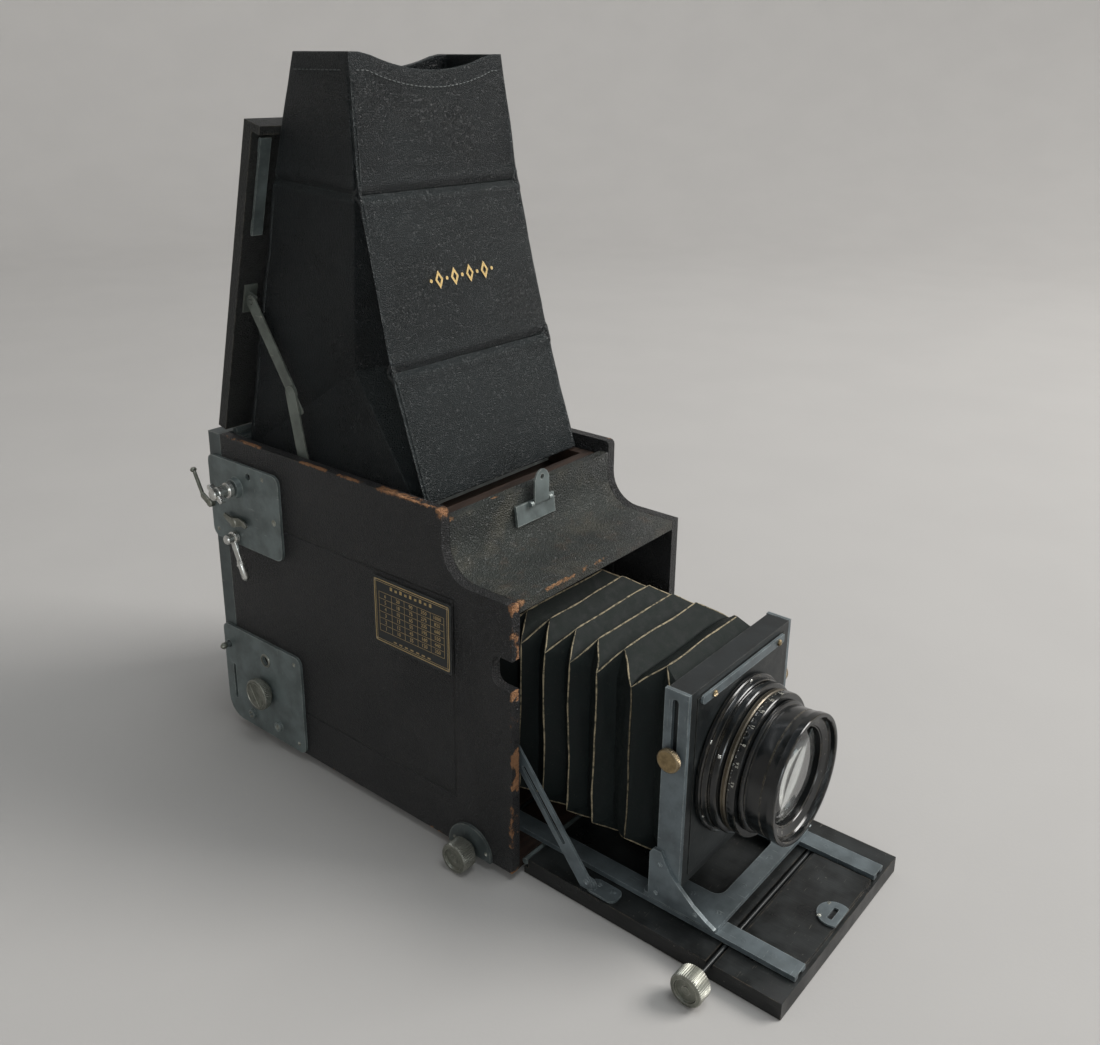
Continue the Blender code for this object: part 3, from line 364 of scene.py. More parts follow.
CLOTH = bellows_cloth("bellows_leathercloth")
RIDGE = ridge_wear("bellows_worn_ridge")
PAINT = enamel("blue_grey_enamel_worn", (0.172, 0.206, 0.204), (0.42, 0.45, 0.42), 0.38, 0.30, 1.1, 0.7, 0.4)
# this enamel is paler grey on faces that point up: a dusting and painted top light
PAINT_TOP = enamel("blue_grey_enamel_rubbed_dusty_top_lit", (0.150, 0.182, 0.198), (0.37, 0.41, 0.41), 0.38, 0.30, 0.9, 0.7, 0.45, 0.5, 0.22)
def gloss_black(name):
    """Japanned brass: deep gloss, faint polishing marks, and rims rubbed through to the brass."""
    k = Mat(name)
    patch = k.noise(13, 3, 0.5)
    rub = k.m("MULTIPLY", k.edge(0.55, 0.01, 0.10), k.span(k.noise(8, 4, 0.7), 0.38, 0.66))
    chip = k.m("MULTIPLY", k.span(k.noise(1.2, 3, 0.7), 0.68, 0.75), k.span(k.noise(15, 2), 0.5, 0.62))
    colour = k.mix(k.span(patch, 0.3, 0.7), (0.0060, 0.0068, 0.0070), (0.0100, 0.0110, 0.0115))
    colour = k.mix(k.m("MULTIPLY", k.m("MAXIMUM", rub, chip), 0.75), colour, (0.17, 0.14, 0.095))
    return k.set(colour=colour, rough=k.m("ADD", k.span(patch, 0.3, 0.7, 0.13, 0.22), k.m("MULTIPLY", rub, 0.15)), normal=k.bump(k.noise(5, 3), 0.02, 0.3), spec=0.6)


BLACK = gloss_black("black_japan")
SATIN = enamel("black_satin_enamel", (0.017, 0.0205, 0.0215), (0.12, 0.12, 0.11), 0.42, 0.1, 0.8, 0.5, 0.25)
FRAME_PAINT = enamel("rear_frame_enamel", (0.098, 0.118, 0.118), (0.34, 0.35, 0.32), 0.42, 0.25, 1.4, 0.6, 0.35)
STAY = enamel("stay_bare_enamel", (0.185, 0.208, 0.185), (0.42, 0.42, 0.36), 0.42, 0.45, 0.8, 0.5, 0.55)
NICKEL = metal_finish("nickel_worn", (0.27, 0.275, 0.235), (0.125, 0.13, 0.108), 0.42)
BRIGHT = metal_finish("nickel_bright", (0.72, 0.72, 0.69), (0.36, 0.35, 0.31), 0.20, tarnish=0.45)
BRASS = metal_finish("brass_aged", (0.30, 0.225, 0.12), (0.12, 0.085, 0.045), 0.36)
DARK_BRASS = metal_finish("brass_darkened", (0.125, 0.103, 0.072), (0.045, 0.038, 0.028), 0.38)
GILT = metal_finish("gilt_line", (0.60, 0.43, 0.17), (0.36, 0.25, 0.10), 0.38, tarnish=0.5)


def bed_finish(name):
    """Black lacquered wood: long faint grain, pale specks and scratches, paler where rubbed."""
    k = Mat(name)
    grain = k.noise(1.1, 4, 0.6, co=k.stretch(1, 0.08, 1))
    broad = k.noise(26, 3, 0.6)
    speck = k.m("MULTIPLY", k.span(k.cells(5.5), 0.10, 0.05), k.span(k.noise(9, 3), 0.45, 0.6))
    scratch = k.m("MULTIPLY", k.span(k.noise(0.7, 2, 0.5, co=k.stretch(0.12, 1, 1)), 0.67, 0.73), k.span(k.noise(18, 2), 0.42, 0.58))
    edge = k.m("MULTIPLY", k.edge(0.9), k.span(k.noise(6, 4, 0.7), 0.42, 0.66))
    colour = k.mix(k.span(grain, 0.35, 0.7), (0.0075, 0.0080, 0.0080), (0.0145, 0.0150, 0.0145))
    colour = k.mix(k.m("MULTIPLY", k.up(0.5, 0.95), k.span(broad, 0.35, 0.7, 0.05, 0.45)), colour, (0.045, 0.050, 0.050))
    colour = k.mix(k.m("MULTIPLY", k.m("MAXIMUM", speck, scratch), 0.5), colour, (0.16, 0.15, 0.125))
    colour = k.mix(k.m("MULTIPLY", edge, 0.7), colour, (0.13, 0.105, 0.075))
    height = k.m("ADD", grain, k.m("MULTIPLY", broad, 0.6))
    return k.set(colour=colour, rough=k.span(broad, 0.3, 0.7, 0.26, 0.46), normal=k.bump(height, 0.08, 0.7), spec=0.38)


def wood_finish(name):
    k = Mat(name)
    grain = k.noise(1.3, 5, 0.6, co=k.stretch(0.07, 1, 1))
    broad = k.noise(20, 3)
    colour = k.mix(k.span(grain, 0.35, 0.68), (0.018, 0.0095, 0.0060), (0.048, 0.026, 0.016))
    colour = k.mix(k.m("MULTIPLY", broad, 0.5), colour, (0.012, 0.008, 0.006))
    return k.set(colour=colour, rough=k.span(grain, 0.3, 0.7, 0.45, 0.62), normal=k.bump(grain, 0.1))


BED = bed_finish("bed_black_lacquer")
WOOD = wood_finish("stained_mahogany")


def plain(name, colour, rough, **more):
    """Small smooth parts: slight variation of tone and gloss only."""
    k = Mat(name)
    patch = k.noise(9, 4, 0.6)
    return k.set(colour=k.mix(k.span(patch, 0.3, 0.7), [c * 0.8 for c in colour], [c * 1.15 for c in colour]), rough=k.span(patch, 0.3, 0.7, max(rough - 0.05, 0.0), rough + 0.06), normal=k.bump(patch, 0.02, 0.4), **more)


def glass(name, tint, rough):
    k = Mat(name)
    smear = k.noise(14, 4, 0.6)
    return k.set(colour=tint, rough=k.span(smear, 0.45, 0.75, rough, rough + 0.05), trans=1.0, ior=1.52, coat=0.3, coat_rough=0.03)


GLASS = glass("lens_glass_coated", (0.93, 0.97, 0.95), 0.0)
SCREEN = plain("ground_glass", (0.62, 0.66, 0.63), 0.5, trans=0.35)
SILVER = plain("mirror_silvering", (0.80, 0.82, 0.84), 0.06, metal=1.0)
CURTAIN = plain("rubberised_silk", (0.012, 0.012, 0.013), 0.6)
WHITE_INK = plain("engraved_filling", (0.52, 0.50, 0.43), 0.6)
DARK = plain("flat_black", (0.006, 0.006, 0.006), 0.7)
THREAD = plain("waxed_thread", (0.085, 0.095, 0.092), 0.55)


# ================================================================ lights and stage
def stage():
    k = Mat("studio_paper")
    k.set(colour=k.mix(k.span(k.noise(140, 3, 0.5), 0.3, 0.7), (0.455, 0.440, 0.424), (0.466, 0.451, 0.434)), rough=0.9, normal=k.bump(k.noise(2.5, 4, 0.6), 0.15, 0.5), spec=0.2)
    profile = [(0.0, 0.0), (0.9, 0.0), (1.5, 0.0), (2.2, 0.0)]
    profile += [(2.2 + 1.6 * math.sin(a), 1.6 - 1.6 * math.cos(a)) for a in [math.radians(90 * i / 16) for i in range(1, 17)]]
    profile += [(3.8, 2.6), (3.8, 4.2)]
    steps = 72
    bm = bmesh.new()
    centre = bm.verts.new((0, 0, 0))
    rings = []
    for r, z in profile[1:]:
        rings.append([bm.verts.new((r * math.cos(2 * math.pi * i / steps), r * math.sin(2 * math.pi * i / steps), z)) for i in range(steps)])
    for i in range(steps):
        bm.faces.new((centre, rings[0][i], rings[0][(i + 1) % steps]))
    for a, b in zip(rings, rings[1:]):
        for i in range(steps):
            bm.faces.new((a[i], b[i], b[(i + 1) % steps], a[(i + 1) % steps]))
    mesh = bpy.data.meshes.new("studio_floor")
    bm.to_mesh(mesh)
    bm.free()
    mesh.shade_smooth()
    mesh.materials.append(k.mat)
    obj = bpy.data.objects.new("studio_floor", mesh)
    scene.collection.objects.link(obj)

    def area(name, spot, aim, size, power, colour):
        data = bpy.data.lights.new(name, "AREA")
        data.shape = "RECTANGLE"
        data.size, data.size_y = size
        data.energy = power
        data.color = colour
        lamp = bpy.data.objects.new(name, data)
        lamp.location = spot
        lamp.rotation_euler = (Vector(aim) - Vector(spot)).to_track_quat("-Z", "Y").to_euler()
        scene.collection.objects.link(lamp)

    area("key", (2.0, -2.1, 2.45), (0, 0, 0.12), (1.7, 1.7), 118, (1.0, 0.985, 0.965))
    area("top", (0.3, -0.7, 3.2), (0, -0.1, 0.1), (1.6, 1.4), 30, (0.95, 0.98, 1.0))
    area("fill", (-2.1, -1.5, 0.85), (0, 0, 0.10), (1.4, 1.2), 8.0, (0.88, 0.96, 1.0))
    area("rim", (-1.25, -1.5, 1.0), (0, 0, 0.25), (0.10, 1.1), 2.4, (0.90, 0.97, 1.0))
    area("backdrop", (1.5, 1.4, 3.2), (3.4, 2.7, 1.3), (2.2, 1.2), 20, (0.98, 0.99, 1.0))
    area("backdrop_left", (-0.6, 1.8, 3.2), (-0.6, 3.8, 1.5), (2.2, 1.2), 11, (1.0, 0.99, 0.98))
    world = bpy.data.worlds.new("studio_air")
    world.use_nodes = True
    world.node_tree.nodes["Background"].inputs[0].default_value = (0.86, 0.94, 1.0, 1)
    world.node_tree.nodes["Background"].inputs[1].default_value = 0.24
    scene.world = world


stage()


# ================================================================ mesh helpers
def box(lo, hi):
    bm = bmesh.new()
    bmesh.ops.create_cube(bm, size=1.0)
    lo, hi = Vector(lo), Vector(hi)
    bmesh.ops.scale(bm, vec=hi - lo, verts=bm.verts)
    bmesh.ops.translate(bm, vec=(lo + hi) / 2, verts=bm.verts)
    return bm


def arc(centre, radius, start, end, steps):
    out = []
    for i in range(steps + 1):
        a = math.radians(start + (end - start) * i / steps)
        out.append((centre[0] + radius * math.cos(a), centre[1] + radius * math.sin(a)))
    return out


def rounded(lo, hi, radii, steps=5):
    (u0, v0), (u1, v1) = lo, hi
    corners = ((u0, v0, 1, 1, 180), (u1, v0, -1, 1, 270), (u1, v1, -1, -1, 0), (u0, v1, 1, -1, 90))
    out = []
    for (u, v, du, dv, first), r in zip(corners, radii):
        out += arc((u + du * r, v + dv * r), r, first, first + 90, steps) if r > 0 else [(u, v)]
    return out


def circle(centre, radius, steps=20):
    return arc(centre, radius, 0, 360 - 360 / steps, steps - 1)


def bar(start, end, half_width, ends=8):
    (u0, v0), (u1, v1) = start, end
    angle = math.degrees(math.atan2(v1 - v0, u1 - u0))
    return arc(start, half_width, angle + 90, angle + 270, ends) + arc(end, half_width, angle - 90, angle + 90, ends)


AXES = {
    "x": Matrix(((0, 0, 1), (1, 0, 0), (0, 1, 0))),
    "y": Matrix(((1, 0, 0), (0, 0, -1), (0, 1, 0))),
    "z": Matrix.Identity(3),
}


def plate(outlines, axis, low, high, bevel=0.0, steps=2):
    """A flat outline (the first) with holes (the rest), given a thickness and rounded rims."""
    curve = bpy.data.curves.new("outline", "CURVE")
    curve.dimensions = "2D"
    curve.fill_mode = "BOTH"
    curve.extrude = (high - low) / 2 - bevel
    curve.bevel_depth = bevel
    curve.bevel_resolution = steps
    curve.offset = -bevel
    for points in outlines:
        spline = curve.splines.new("POLY")
        spline.points.add(len(points) - 1)
        for point, (u, v) in zip(spline.points, points):
            point.co = (u, v, 0, 1)
        spline.use_cyclic_u = True
    holder = bpy.data.objects.new("outline", curve)
    scene.collection.objects.link(holder)
    mesh = bpy.data.meshes.new_from_object(holder.evaluated_get(bpy.context.evaluated_depsgraph_get()))
    bm = bmesh.new()
    bm.from_mesh(mesh)
    bpy.data.objects.remove(holder, do_unlink=True)
    bpy.data.meshes.remove(mesh)
    bmesh.ops.remove_doubles(bm, verts=bm.verts, dist=1e-4)
    middle = (low + high) / 2
    bmesh.ops.translate(bm, vec=(0, 0, -middle if axis == "y" else middle), verts=bm.verts)
    bmesh.ops.transform(bm, matrix=AXES[axis].to_4x4(), verts=bm.verts)
    bmesh.ops.recalc_face_normals(bm, faces=bm.faces)
    return bm


def merge(parts):
    """Several bmeshes as one."""
    out = bmesh.new()
    for part in parts:
        mesh = bpy.data.meshes.new("part")
        part.to_mesh(mesh)
        part.free()
        out.from_mesh(mesh)
        bpy.data.meshes.remove(mesh)
    return out


def turn(axis_from, axis_to=(0, 0, 1)):
    return Vector(axis_to).rotation_difference(Vector(axis_from).normalized()).to_matrix().to_4x4()


def lathe(profile, origin, axis, steps=64, wave=None):
    """A closed turned solid. profile is (radius, distance) along axis; wave(i, r, t) may change a radius."""
    bm = bmesh.new()
    rings = []
    for j, (r, t) in enumerate(profile):
        if r < 1e-6:
            rings.append([bm.verts.new((0, 0, t))])
            continue
        ring = []
        for i in range(steps):
            rr = wave(i, j, r, t) if wave else r
            a = 2 * math.pi * i / steps
            ring.append(bm.verts.new((rr * math.cos(a), rr * math.sin(a), t)))
        rings.append(ring)
    pairs = list(zip(rings, rings[1:]))
    if len(rings[0]) > 1 and len(rings[-1]) > 1:
        pairs.append((rings[-1], rings[0]))
    for a, b in pairs:
        for i in range(steps):
            n = (i + 1) % steps
            if len(a) == 1:
                bm.faces.new((a[0], b[n], b[i]))
            elif len(b) == 1:
                bm.faces.new((a[i], a[n], b[0]))
            else:
                bm.faces.new((a[i], a[n], b[n], b[i]))
    bmesh.ops.transform(bm, matrix=Matrix.Translation(Vector(origin)) @ turn(axis), verts=bm.verts)
    bmesh.ops.recalc_face_normals(bm, faces=bm.faces)
    return bm


def disc_profile(r, t0, t1, chamfer=0.4, inner=0.0):
    """A disc or ring with small chamfers."""
    c = chamfer
    return [(inner, t0), (r - c, t0), (r, t0 + c), (r, t1 - c), (r - c, t1), (inner, t1)]


def solid_disc(r, t0, t1, origin, axis, chamfer=0.4, steps=40):
    return lathe(disc_profile(r, t0, t1, chamfer), origin, axis, steps)


def screw(spot, axis, r=1.8, proud=0.8, slot_angle=30.0, sink=0.5):
    """A domed slotted screw head."""
    p = [(0, -sink), (r, -sink), (r, proud * 0.25), (r * 0.92, proud * 0.55), (r * 0.7, proud * 0.85), (r * 0.35, proud), (0, proud)]
    bm = lathe(p, (0, 0, 0), (0, 0, 1), 20)
    half = math.radians(slot_angle)
    n = Vector((-math.sin(half), math.cos(half), 0))
    for v in bm.verts:
        if v.co.z > proud * 0.3 and abs(v.co.xy.to_3d().dot(n)) < r * 0.20:
            v.co.z -= proud * 0.75
    bmesh.ops.transform(bm, matrix=Matrix.Translation(Vector(spot)) @ turn(axis), verts=bm.verts)
    bmesh.ops.recalc_face_normals(bm, faces=bm.faces)
    return bm


def knurled(r, t0, t1, origin, axis, teeth=44, depth=0.45, recess=0.0, recess_r=0.0, chamfer=0.8):
    """A knob head with straight knurling round its rim and a turned face."""
    steps = teeth * 4
    c = chamfer
    face = [(recess_r, t1), (recess_r - 0.5, t1 - recess)] if recess else []
    p = [(0, t0), (r - c - 0.6, t0), (r - 0.6, t0 + c * 0.6), (r, t0 + c), (r, t1 - c), (r - 0.5, t1 - c * 0.4), (r - c - 0.4, t1)] + face + [(0, t1 - recess)]

    def wave(i, j, rr, t):
        return rr - (depth if i % 4 in (0, 1) else 0.0) if 2 < j < 5 else rr

    return lathe(p, origin, axis, steps, wave)


def piece(name, bm, mat, body, replaces=(), smooth=35, bevel=0.0, keep_units=False):
    """A finished mesh piece in the row frame, riding on its body."""
    if not keep_units:
        for v in bm.verts:
            v.co = to_row(v.co)
    mesh = bpy.data.meshes.new(name)
    bm.to_mesh(mesh)
    bm.free()
    mesh.materials.append(mat)
    if smooth:
        mesh.shade_smooth()
        mesh.set_sharp_from_angle(angle=math.radians(smooth))
    obj = bpy.data.objects.new(name, mesh)
    scene.collection.objects.link(obj)
    if bevel:
        mod = obj.modifiers.new("rounding", "BEVEL")
        mod.width = bevel / 1000
        mod.segments = 2
        mod.limit_method = "ANGLE"
        mod.angle_limit = math.radians(35)
    if body:
        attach(obj, body)
    if replaces:
        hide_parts(*replaces)
    return obj


def bake(obj):
    """Puts the modifiers into the mesh."""
    graph = bpy.context.evaluated_depsgraph_get()
    mesh = bpy.data.meshes.new_from_object(obj.evaluated_get(graph))
    obj.modifiers.clear()
    obj.data = mesh
    return obj


# ================================================================ carried-over CAD nodes
def dress(node, mat, bevel=0.0, segments=2, smooth=True, angle=35):
    obj = NODES[node]
    obj.data.materials.clear()
    obj.data.materials.append(mat)
    if bevel:
        mod = obj.modifiers.new("rounding", "BEVEL")
        mod.width = bevel / 1000
        mod.segments = segments
        mod.limit_method = "ANGLE"
        mod.angle_limit = math.radians(angle)
        mod.harden_normals = False
    if smooth:
        obj.data.shade_smooth()
        obj.data.set_sharp_from_angle(angle=math.radians(40))


for name in ("left_side_panel", "right_side_panel"):
    dress(name, BODY, 1.3, 3)
dress("front_roof", ROOF, 1.0, 3)
dress("bottom_board", WOOD)
dress("rear_frame", FRAME_PAINT, 0.8)
dress("revolving_back", SATIN, 0.7)
dress("front_foot_bar", SATIN, 0.8)
dress("rear_foot_bar", SATIN, 0.8)
dress("curtain_roller_top", WOOD)
dress("curtain_roller_bottom", WOOD)
dress("shutter_curtain", CURTAIN)
dress("screen_frame", WOOD, 0.6)
dress("focusing_screen", SCREEN)
dress("lid", LIDMAT, 1.0, 3)
for name in ("lid_hinge_body_leaf", "lid_hinge_lid_leaf"):
    dress(name, FRAME_PAINT, 0.2)
dress("lid_stay_bracket", STAY, 0.2)
dress("lid_stay_upper_link", STAY, 0.25)
dress("lid_stay_lower_link", STAY, 0.25)
dress("lid_clip", PAINT, 0.4)
dress("catch_base", PAINT, 0.3)
dress("catch_tongue", PAINT, 0.2)
dress("mirror_frame", WOOD, 0.4)
dress("mirror_glass", SILVER)
dress("mirror_shaft_lever", NICKEL, 0.3)
dress("drop_bed", BED, 0.7, 3)
dress("bed_hinge", PAINT)
dress("bed_lock_plate", PAINT_TOP, 0.2)
for side in ("left", "right"):
    dress(f"{side}_rail", PAINT_TOP, 0.3)
    dress(f"{side}_strut", PAINT_TOP, 0.25)
    dress(f"{side}_upright", PAINT_TOP, 0.3)
dress("carriage", PAINT_TOP, 0.5)
dress("lens_carrier", SATIN, 0.5)
dress("lens_board", SATIN, 0.4)
dress("board_strip", PAINT_TOP, 0.4)
dress("rear_glass", GLASS)
dress("iris_diaphragm", DARK)
dress("bellows_frame", WOOD, 0.3)
dress("focus_escutcheon", FRAME_PAINT, 0.5)


# ================================================================ focusing hood
HOOD = (  # half width, front y, rear y, front z, rear z
    (68.6, 74.0, 235.0, 210.2, 210.2),
    (68.8, 98.5, 217.2, 284.5, 284.5),
    (66.4, 122.1, 194.3, 378.0, 382.0),
    (60.9, 131.2, 177.7, 452.0, 452.0),
)
SCOOP_SAG, SCOOP_HALF = 9.0, 50.0


def scoop(x):
    r = (SCOOP_HALF**2 + SCOOP_SAG**2) / (2 * SCOOP_SAG)
    return max(0.0, math.sqrt(max(r * r - x * x, 0)) - (r - SCOOP_SAG)) if abs(x) < SCOOP_HALF else 0.0


def cluster(length, inner=12, near=(0.0, 0.9, 1.8, 3.0, 4.6, 7.0)):
    """Fractions along an edge, close together at both ends, where the folds are."""
    ends = [d / length for d in near if d < length * 0.3]
    while len(ends) < len(near):
        ends.append(ends[-1] + (0.34 - ends[-1]) / 3)
    first, last = ends[-1], 1 - ends[-1]
    middle = [first + (last - first) * i / (inner + 1) for i in range(1, inner + 1)]
    return ends + middle + [1 - e for e in reversed(ends)]


def hood_patch(bm, layer, a, b, c, d, bulge=0.0, folds=(0, 0, 0, 0), lips=1.3):
    """A panel a-b-c-d (bottom left, bottom right, top right, top left, seen from outside) with a soft swell.
    folds says how deep the leather sinks along the bottom, right, top and left edge."""
    a, b, c, d = map(Vector, (a, b, c, d))
    lengths = [max((q - p).length, 0.01) for p, q in ((a, b), (b, c), (d, c), (a, d))]
    bottom, right, top, left = (cluster(x) if x > 0.1 else None for x in lengths)
    bottom = bottom or top
    top = top or bottom
    left = left or right
    right = right or left
    n = len(bottom)
    normal = (b - a).cross(d - a) if (b - a).length > 1 and (d - a).length > 1 else (c - a).cross(d - a) if (d - a).length > 1 else (b - a).cross(c - a)
    normal.normalize()
    grid = []
    for j in range(n):
        lo, hi = a.lerp(d, left[j]), b.lerp(c, right[j])
        row = []
        for i in range(n):
            w = j / (n - 1)
            u = bottom[i] * (1 - w) + top[i] * w
            v = left[j] * (1 - u) + right[j] * u
            p = lo.lerp(hi, u)
            swell = bulge * (4 * u * (1 - u)) ** 0.6 * (4 * v * (1 - v)) ** 0.6
            width, height = lengths[0] * (1 - w) + lengths[2] * w, lengths[3] * (1 - u) + lengths[1] * u
            gaps = (v * height, (1 - u) * width, (1 - v) * height, u * width)
            sink = 0.0
            for depth, gap in zip(folds, gaps):
                if depth:
                    sink = max(sink, depth * max(0.0, 1 - (gap / 2.6) ** 2))
                    swell += depth * 0.34 * math.exp(-((gap - 4.4) / 1.7) ** 2)
            row.append(bm.verts.new(p + normal * (swell - sink)))
        grid.append(row)
    for j in range(n - 1):
        for i in range(n - 1):
            quad = [grid[j][i], grid[j][i + 1], grid[j + 1][i + 1], grid[j + 1][i]]
            bm.faces.new(quad)


def build_hood():
    bm = bmesh.new()
    half = [h[0] for h in HOOD]
    fy, ry = [h[1] for h in HOOD], [h[2] for h in HOOD]
    fz, rz = [h[3] for h in HOOD], [h[4] for h in HOOD]
    fz = [HOOD[0][3], 282.5, 378.0, 452.0]
    fold = 1.5
    for lo, hi in ((0, 1), (1, 2), (2, 3)):
        folds = (fold if lo else 0, 0, fold if hi < 3 else 0, 0)
        hood_patch(bm, None, (-half[lo], fy[lo], fz[lo]), (half[lo], fy[lo], fz[lo]), (half[hi], fy[hi], fz[hi]), (-half[hi], fy[hi], fz[hi]), 0.9, folds)
        hood_patch(bm, None, (half[lo], ry[lo], rz[lo]), (-half[lo], ry[lo], rz[lo]), (-half[hi], ry[hi], rz[hi]), (half[hi], ry[hi], rz[hi]), -0.6, folds)
    for s in (-1, 1):
        def P(x, y, z, s=s):
            return (s * x, y, z)

        front1, front2 = P(half[1], fy[1], fz[1]), P(half[2], fy[2], fz[2])
        rear2, rear0 = P(half[2], ry[2], rz[2]), P(half[0], ry[0], rz[0])
        base = P(half[0], fy[0], fz[0])
        edge2 = P(half[2] - 0.1, 125.0, 377.6)
        vertex = P(58.0, 141.0, 274.4)
        foot = P(68.0, 84.5, 210.4)
        valley1 = P(40.0, 121.0, 279.5)
        valley0 = P(58.0, 85.0, 210.4)
        valley2 = P(half[2] - 2.6, 124.6, 377.8)
        order = (lambda q: q) if s < 0 else (lambda q: (q[1], q[0], q[3], q[2]))
        flip = lambda f: (f[0], f[3], f[2], f[1]) if s > 0 else f

        def side(a, b, c, d, bulge=0.0, folds=(0, 0, 0, 0)):
            hood_patch(bm, None, *order((a, b, c, d)), bulge, flip(folds))

        # seen from outside on the left: rear is on the left hand, front on the right hand
        side(rear2, edge2, P(half[3], fy[3] + 2.4, fz[3]), P(half[3], ry[3], rz[3]), 0.7, (fold, 0, 0, 0))
        side(rear0, vertex, edge2, rear2, 1.2, (0, 0, fold, 0))
        side(rear0, foot, vertex, vertex, 0.4)
        side(vertex, valley1, valley2, edge2, -0.4)
        side(valley1, front1, front2, valley2, -0.3)
        side(foot, valley0, valley1, vertex, -0.3)
        side(valley0, base, front1, valley1, -0.2)
        side(edge2, valley2, P(half[3], fy[3] + 1.2, fz[3]), P(half[3], fy[3] + 2.4, fz[3]), 0.0)
        side(valley2, front2, P(half[3], fy[3], fz[3]), P(half[3], fy[3] + 1.2, fz[3]), 0.0)
    bmesh.ops.remove_doubles(bm, verts=bm.verts, dist=0.12)
    for v in bm.verts:
        top = max(0.0, (v.co.z - 382) / 70)
        if top > 0:
            v.co.z -= scoop(v.co.x) * top
        n = noise.noise(Vector(v.co) / 31) * 0.55 + noise.noise(Vector(v.co) / 11 + Vector((3, 1, 7))) * 0.22
        level = min(1.0, max(0.0, (v.co.z - 212) / 20)) * min(1.0, max(0.0, (451 - v.co.z) / 10))
        v.co.y += n * level * (-1 if v.co.y < 150 else 1)
        v.co.x += n * 0.7 * level * (1 if v.co.x > 0 else -1) * (1 if abs(v.co.x) > 40 else 0)
    crease = [e for e in bm.edges if len(e.link_faces) == 2 and e.calc_face_angle(0) > math.radians(30)]
    soft = {v for e in crease for v in e.verts}
    for _ in range(2):
        bmesh.ops.smooth_vert(bm, verts=list(soft), factor=0.4, use_axis_x=True, use_axis_y=True, use_axis_z=True)
    bmesh.ops.recalc_face_normals(bm, faces=bm.faces)
    obj = piece("leather_hood", bm, HOOD_MAT, None, smooth=55)
    shell = obj.modifiers.new("wall", "SOLIDIFY")
    shell.thickness = 0.0019
    shell.offset = -1
    bake(obj)
    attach(obj, "body")
    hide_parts("focusing_hood")
    return obj


def front_point(x, z, out=0.0):
    """A point on the hood's front at height z."""
    for (_, y0, _, z0, _), (_, y1, _, z1, _) in zip(HOOD, HOOD[1:]):
        if z <= z1 or z1 == 452.0:
            t = (z - z0) / (z1 - z0)
            return Vector((x, y0 + (y1 - y0) * t - out, z))


def capsule(a, b, r, sides=6):
    """A short rounded thread or bead from a to b."""
    a, b = Vector(a), Vector(b)
    length = (b - a).length
    p = [(0, -r * 0.5), (r * 0.7, 0), (r, r * 0.6), (r, length - r * 0.6), (r * 0.7, length), (0, length + r * 0.5)]
    return lathe(p, a, b - a, sides)


def build_stitches():
    parts = []

    def run(points):
        path = [Vector(p) for p in points]
        total = sum((b - a).length for a, b in zip(path, path[1:]))
        at, where = 1.5, []
        while at < total - 2:
            left = at
            for a, b in zip(path, path[1:]):
                step = (b - a).length
                if left <= step:
                    where.append((a.lerp(b, left / step), (b - a).normalized()))
                    break
                left -= step
            at += 3.3
        for spot, along in where:
            parts.append(capsule(spot - along * 1.05, spot + along * 1.05, 0.33, 5))

    down = 9.5
    xs = [-58 + 116 * i / 40 for i in range(41)]
    run([front_point(x, 452 - scoop(x) - down, 0.55 + 0.35) for x in xs])
    run([(x, 177.7 + (452 - (452 - scoop(x) - down)) * 0.237 + 0.6, 452 - scoop(x) - down) for x in xs])
    for s in (-1, 1):
        run([(s * (60.9 + down * 0.0743 + 0.75), y, 452 - down) for y in (136.0, 150.0, 164.0, 176.0)])
    return merge(parts)


def build_ornament():
    """A gilt stamp of plain lozenges between two small dots, set in the hood's leather."""
    parts = []
    for i, kind in enumerate("dLdLdLdLd"):
        x = -26.0 + 52 * i / 8
        z = 328.0 + x * 0.02
        w, h = (3.2, 5.2) if kind == "L" else (1.1, 1.1)
        ring = [(w, 0), (0, h), (-w, 0), (0, -h)] if kind == "L" else circle((0, 0), w, 10)
        bm = bmesh.new()
        outer = [bm.verts.new(front_point(x + a, z + b, 1.12)) for a, b in ring]
        back = [bm.verts.new(front_point(x + a, z + b, 0.35)) for a, b in ring]
        if kind == "L":
            inner = [bm.verts.new(front_point(x + a * 0.5, z + b * 0.5, 1.12)) for a, b in ring]
            deep = [bm.verts.new(front_point(x + a * 0.5, z + b * 0.5, 0.35)) for a, b in ring]
            loops = ((outer, inner), (inner, deep), (deep, back), (back, outer))
            for one, two in loops:
                for q in range(len(ring)):
                    n = (q + 1) % len(ring)
                    bm.faces.new((one[q], one[n], two[n], two[q]))
        else:
            bm.faces.new(outer)
            bm.faces.new(back[::-1])
            for q in range(len(ring)):
                n = (q + 1) % len(ring)
                bm.faces.new((outer[q], back[q], back[n], outer[n]))
        bmesh.ops.recalc_face_normals(bm, faces=bm.faces)
        parts.append(bm)
    return merge(parts)


hood = build_hood()
stitches = piece("hood_stitching", build_stitches(), THREAD, "body")
ornament = piece("hood_gilt_stamp", build_ornament(), GILT, "body", smooth=0)
for soft in (hood, stitches, ornament):
    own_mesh(soft)


# ================================================================ bellows
BELLOWS_BACK, BELLOWS_FRONT, BELLOWS_Z = 77.7, -80.8, 89.0
BELLOWS_FOLDS = ((69.0, 60.5), (52.0, 43.5), (35.0, 26.5), (17.0, 10.6), (0.0, -8.7), (-17.4, -25.3), (-35.0, -42.9), (-57.0, -69.5))


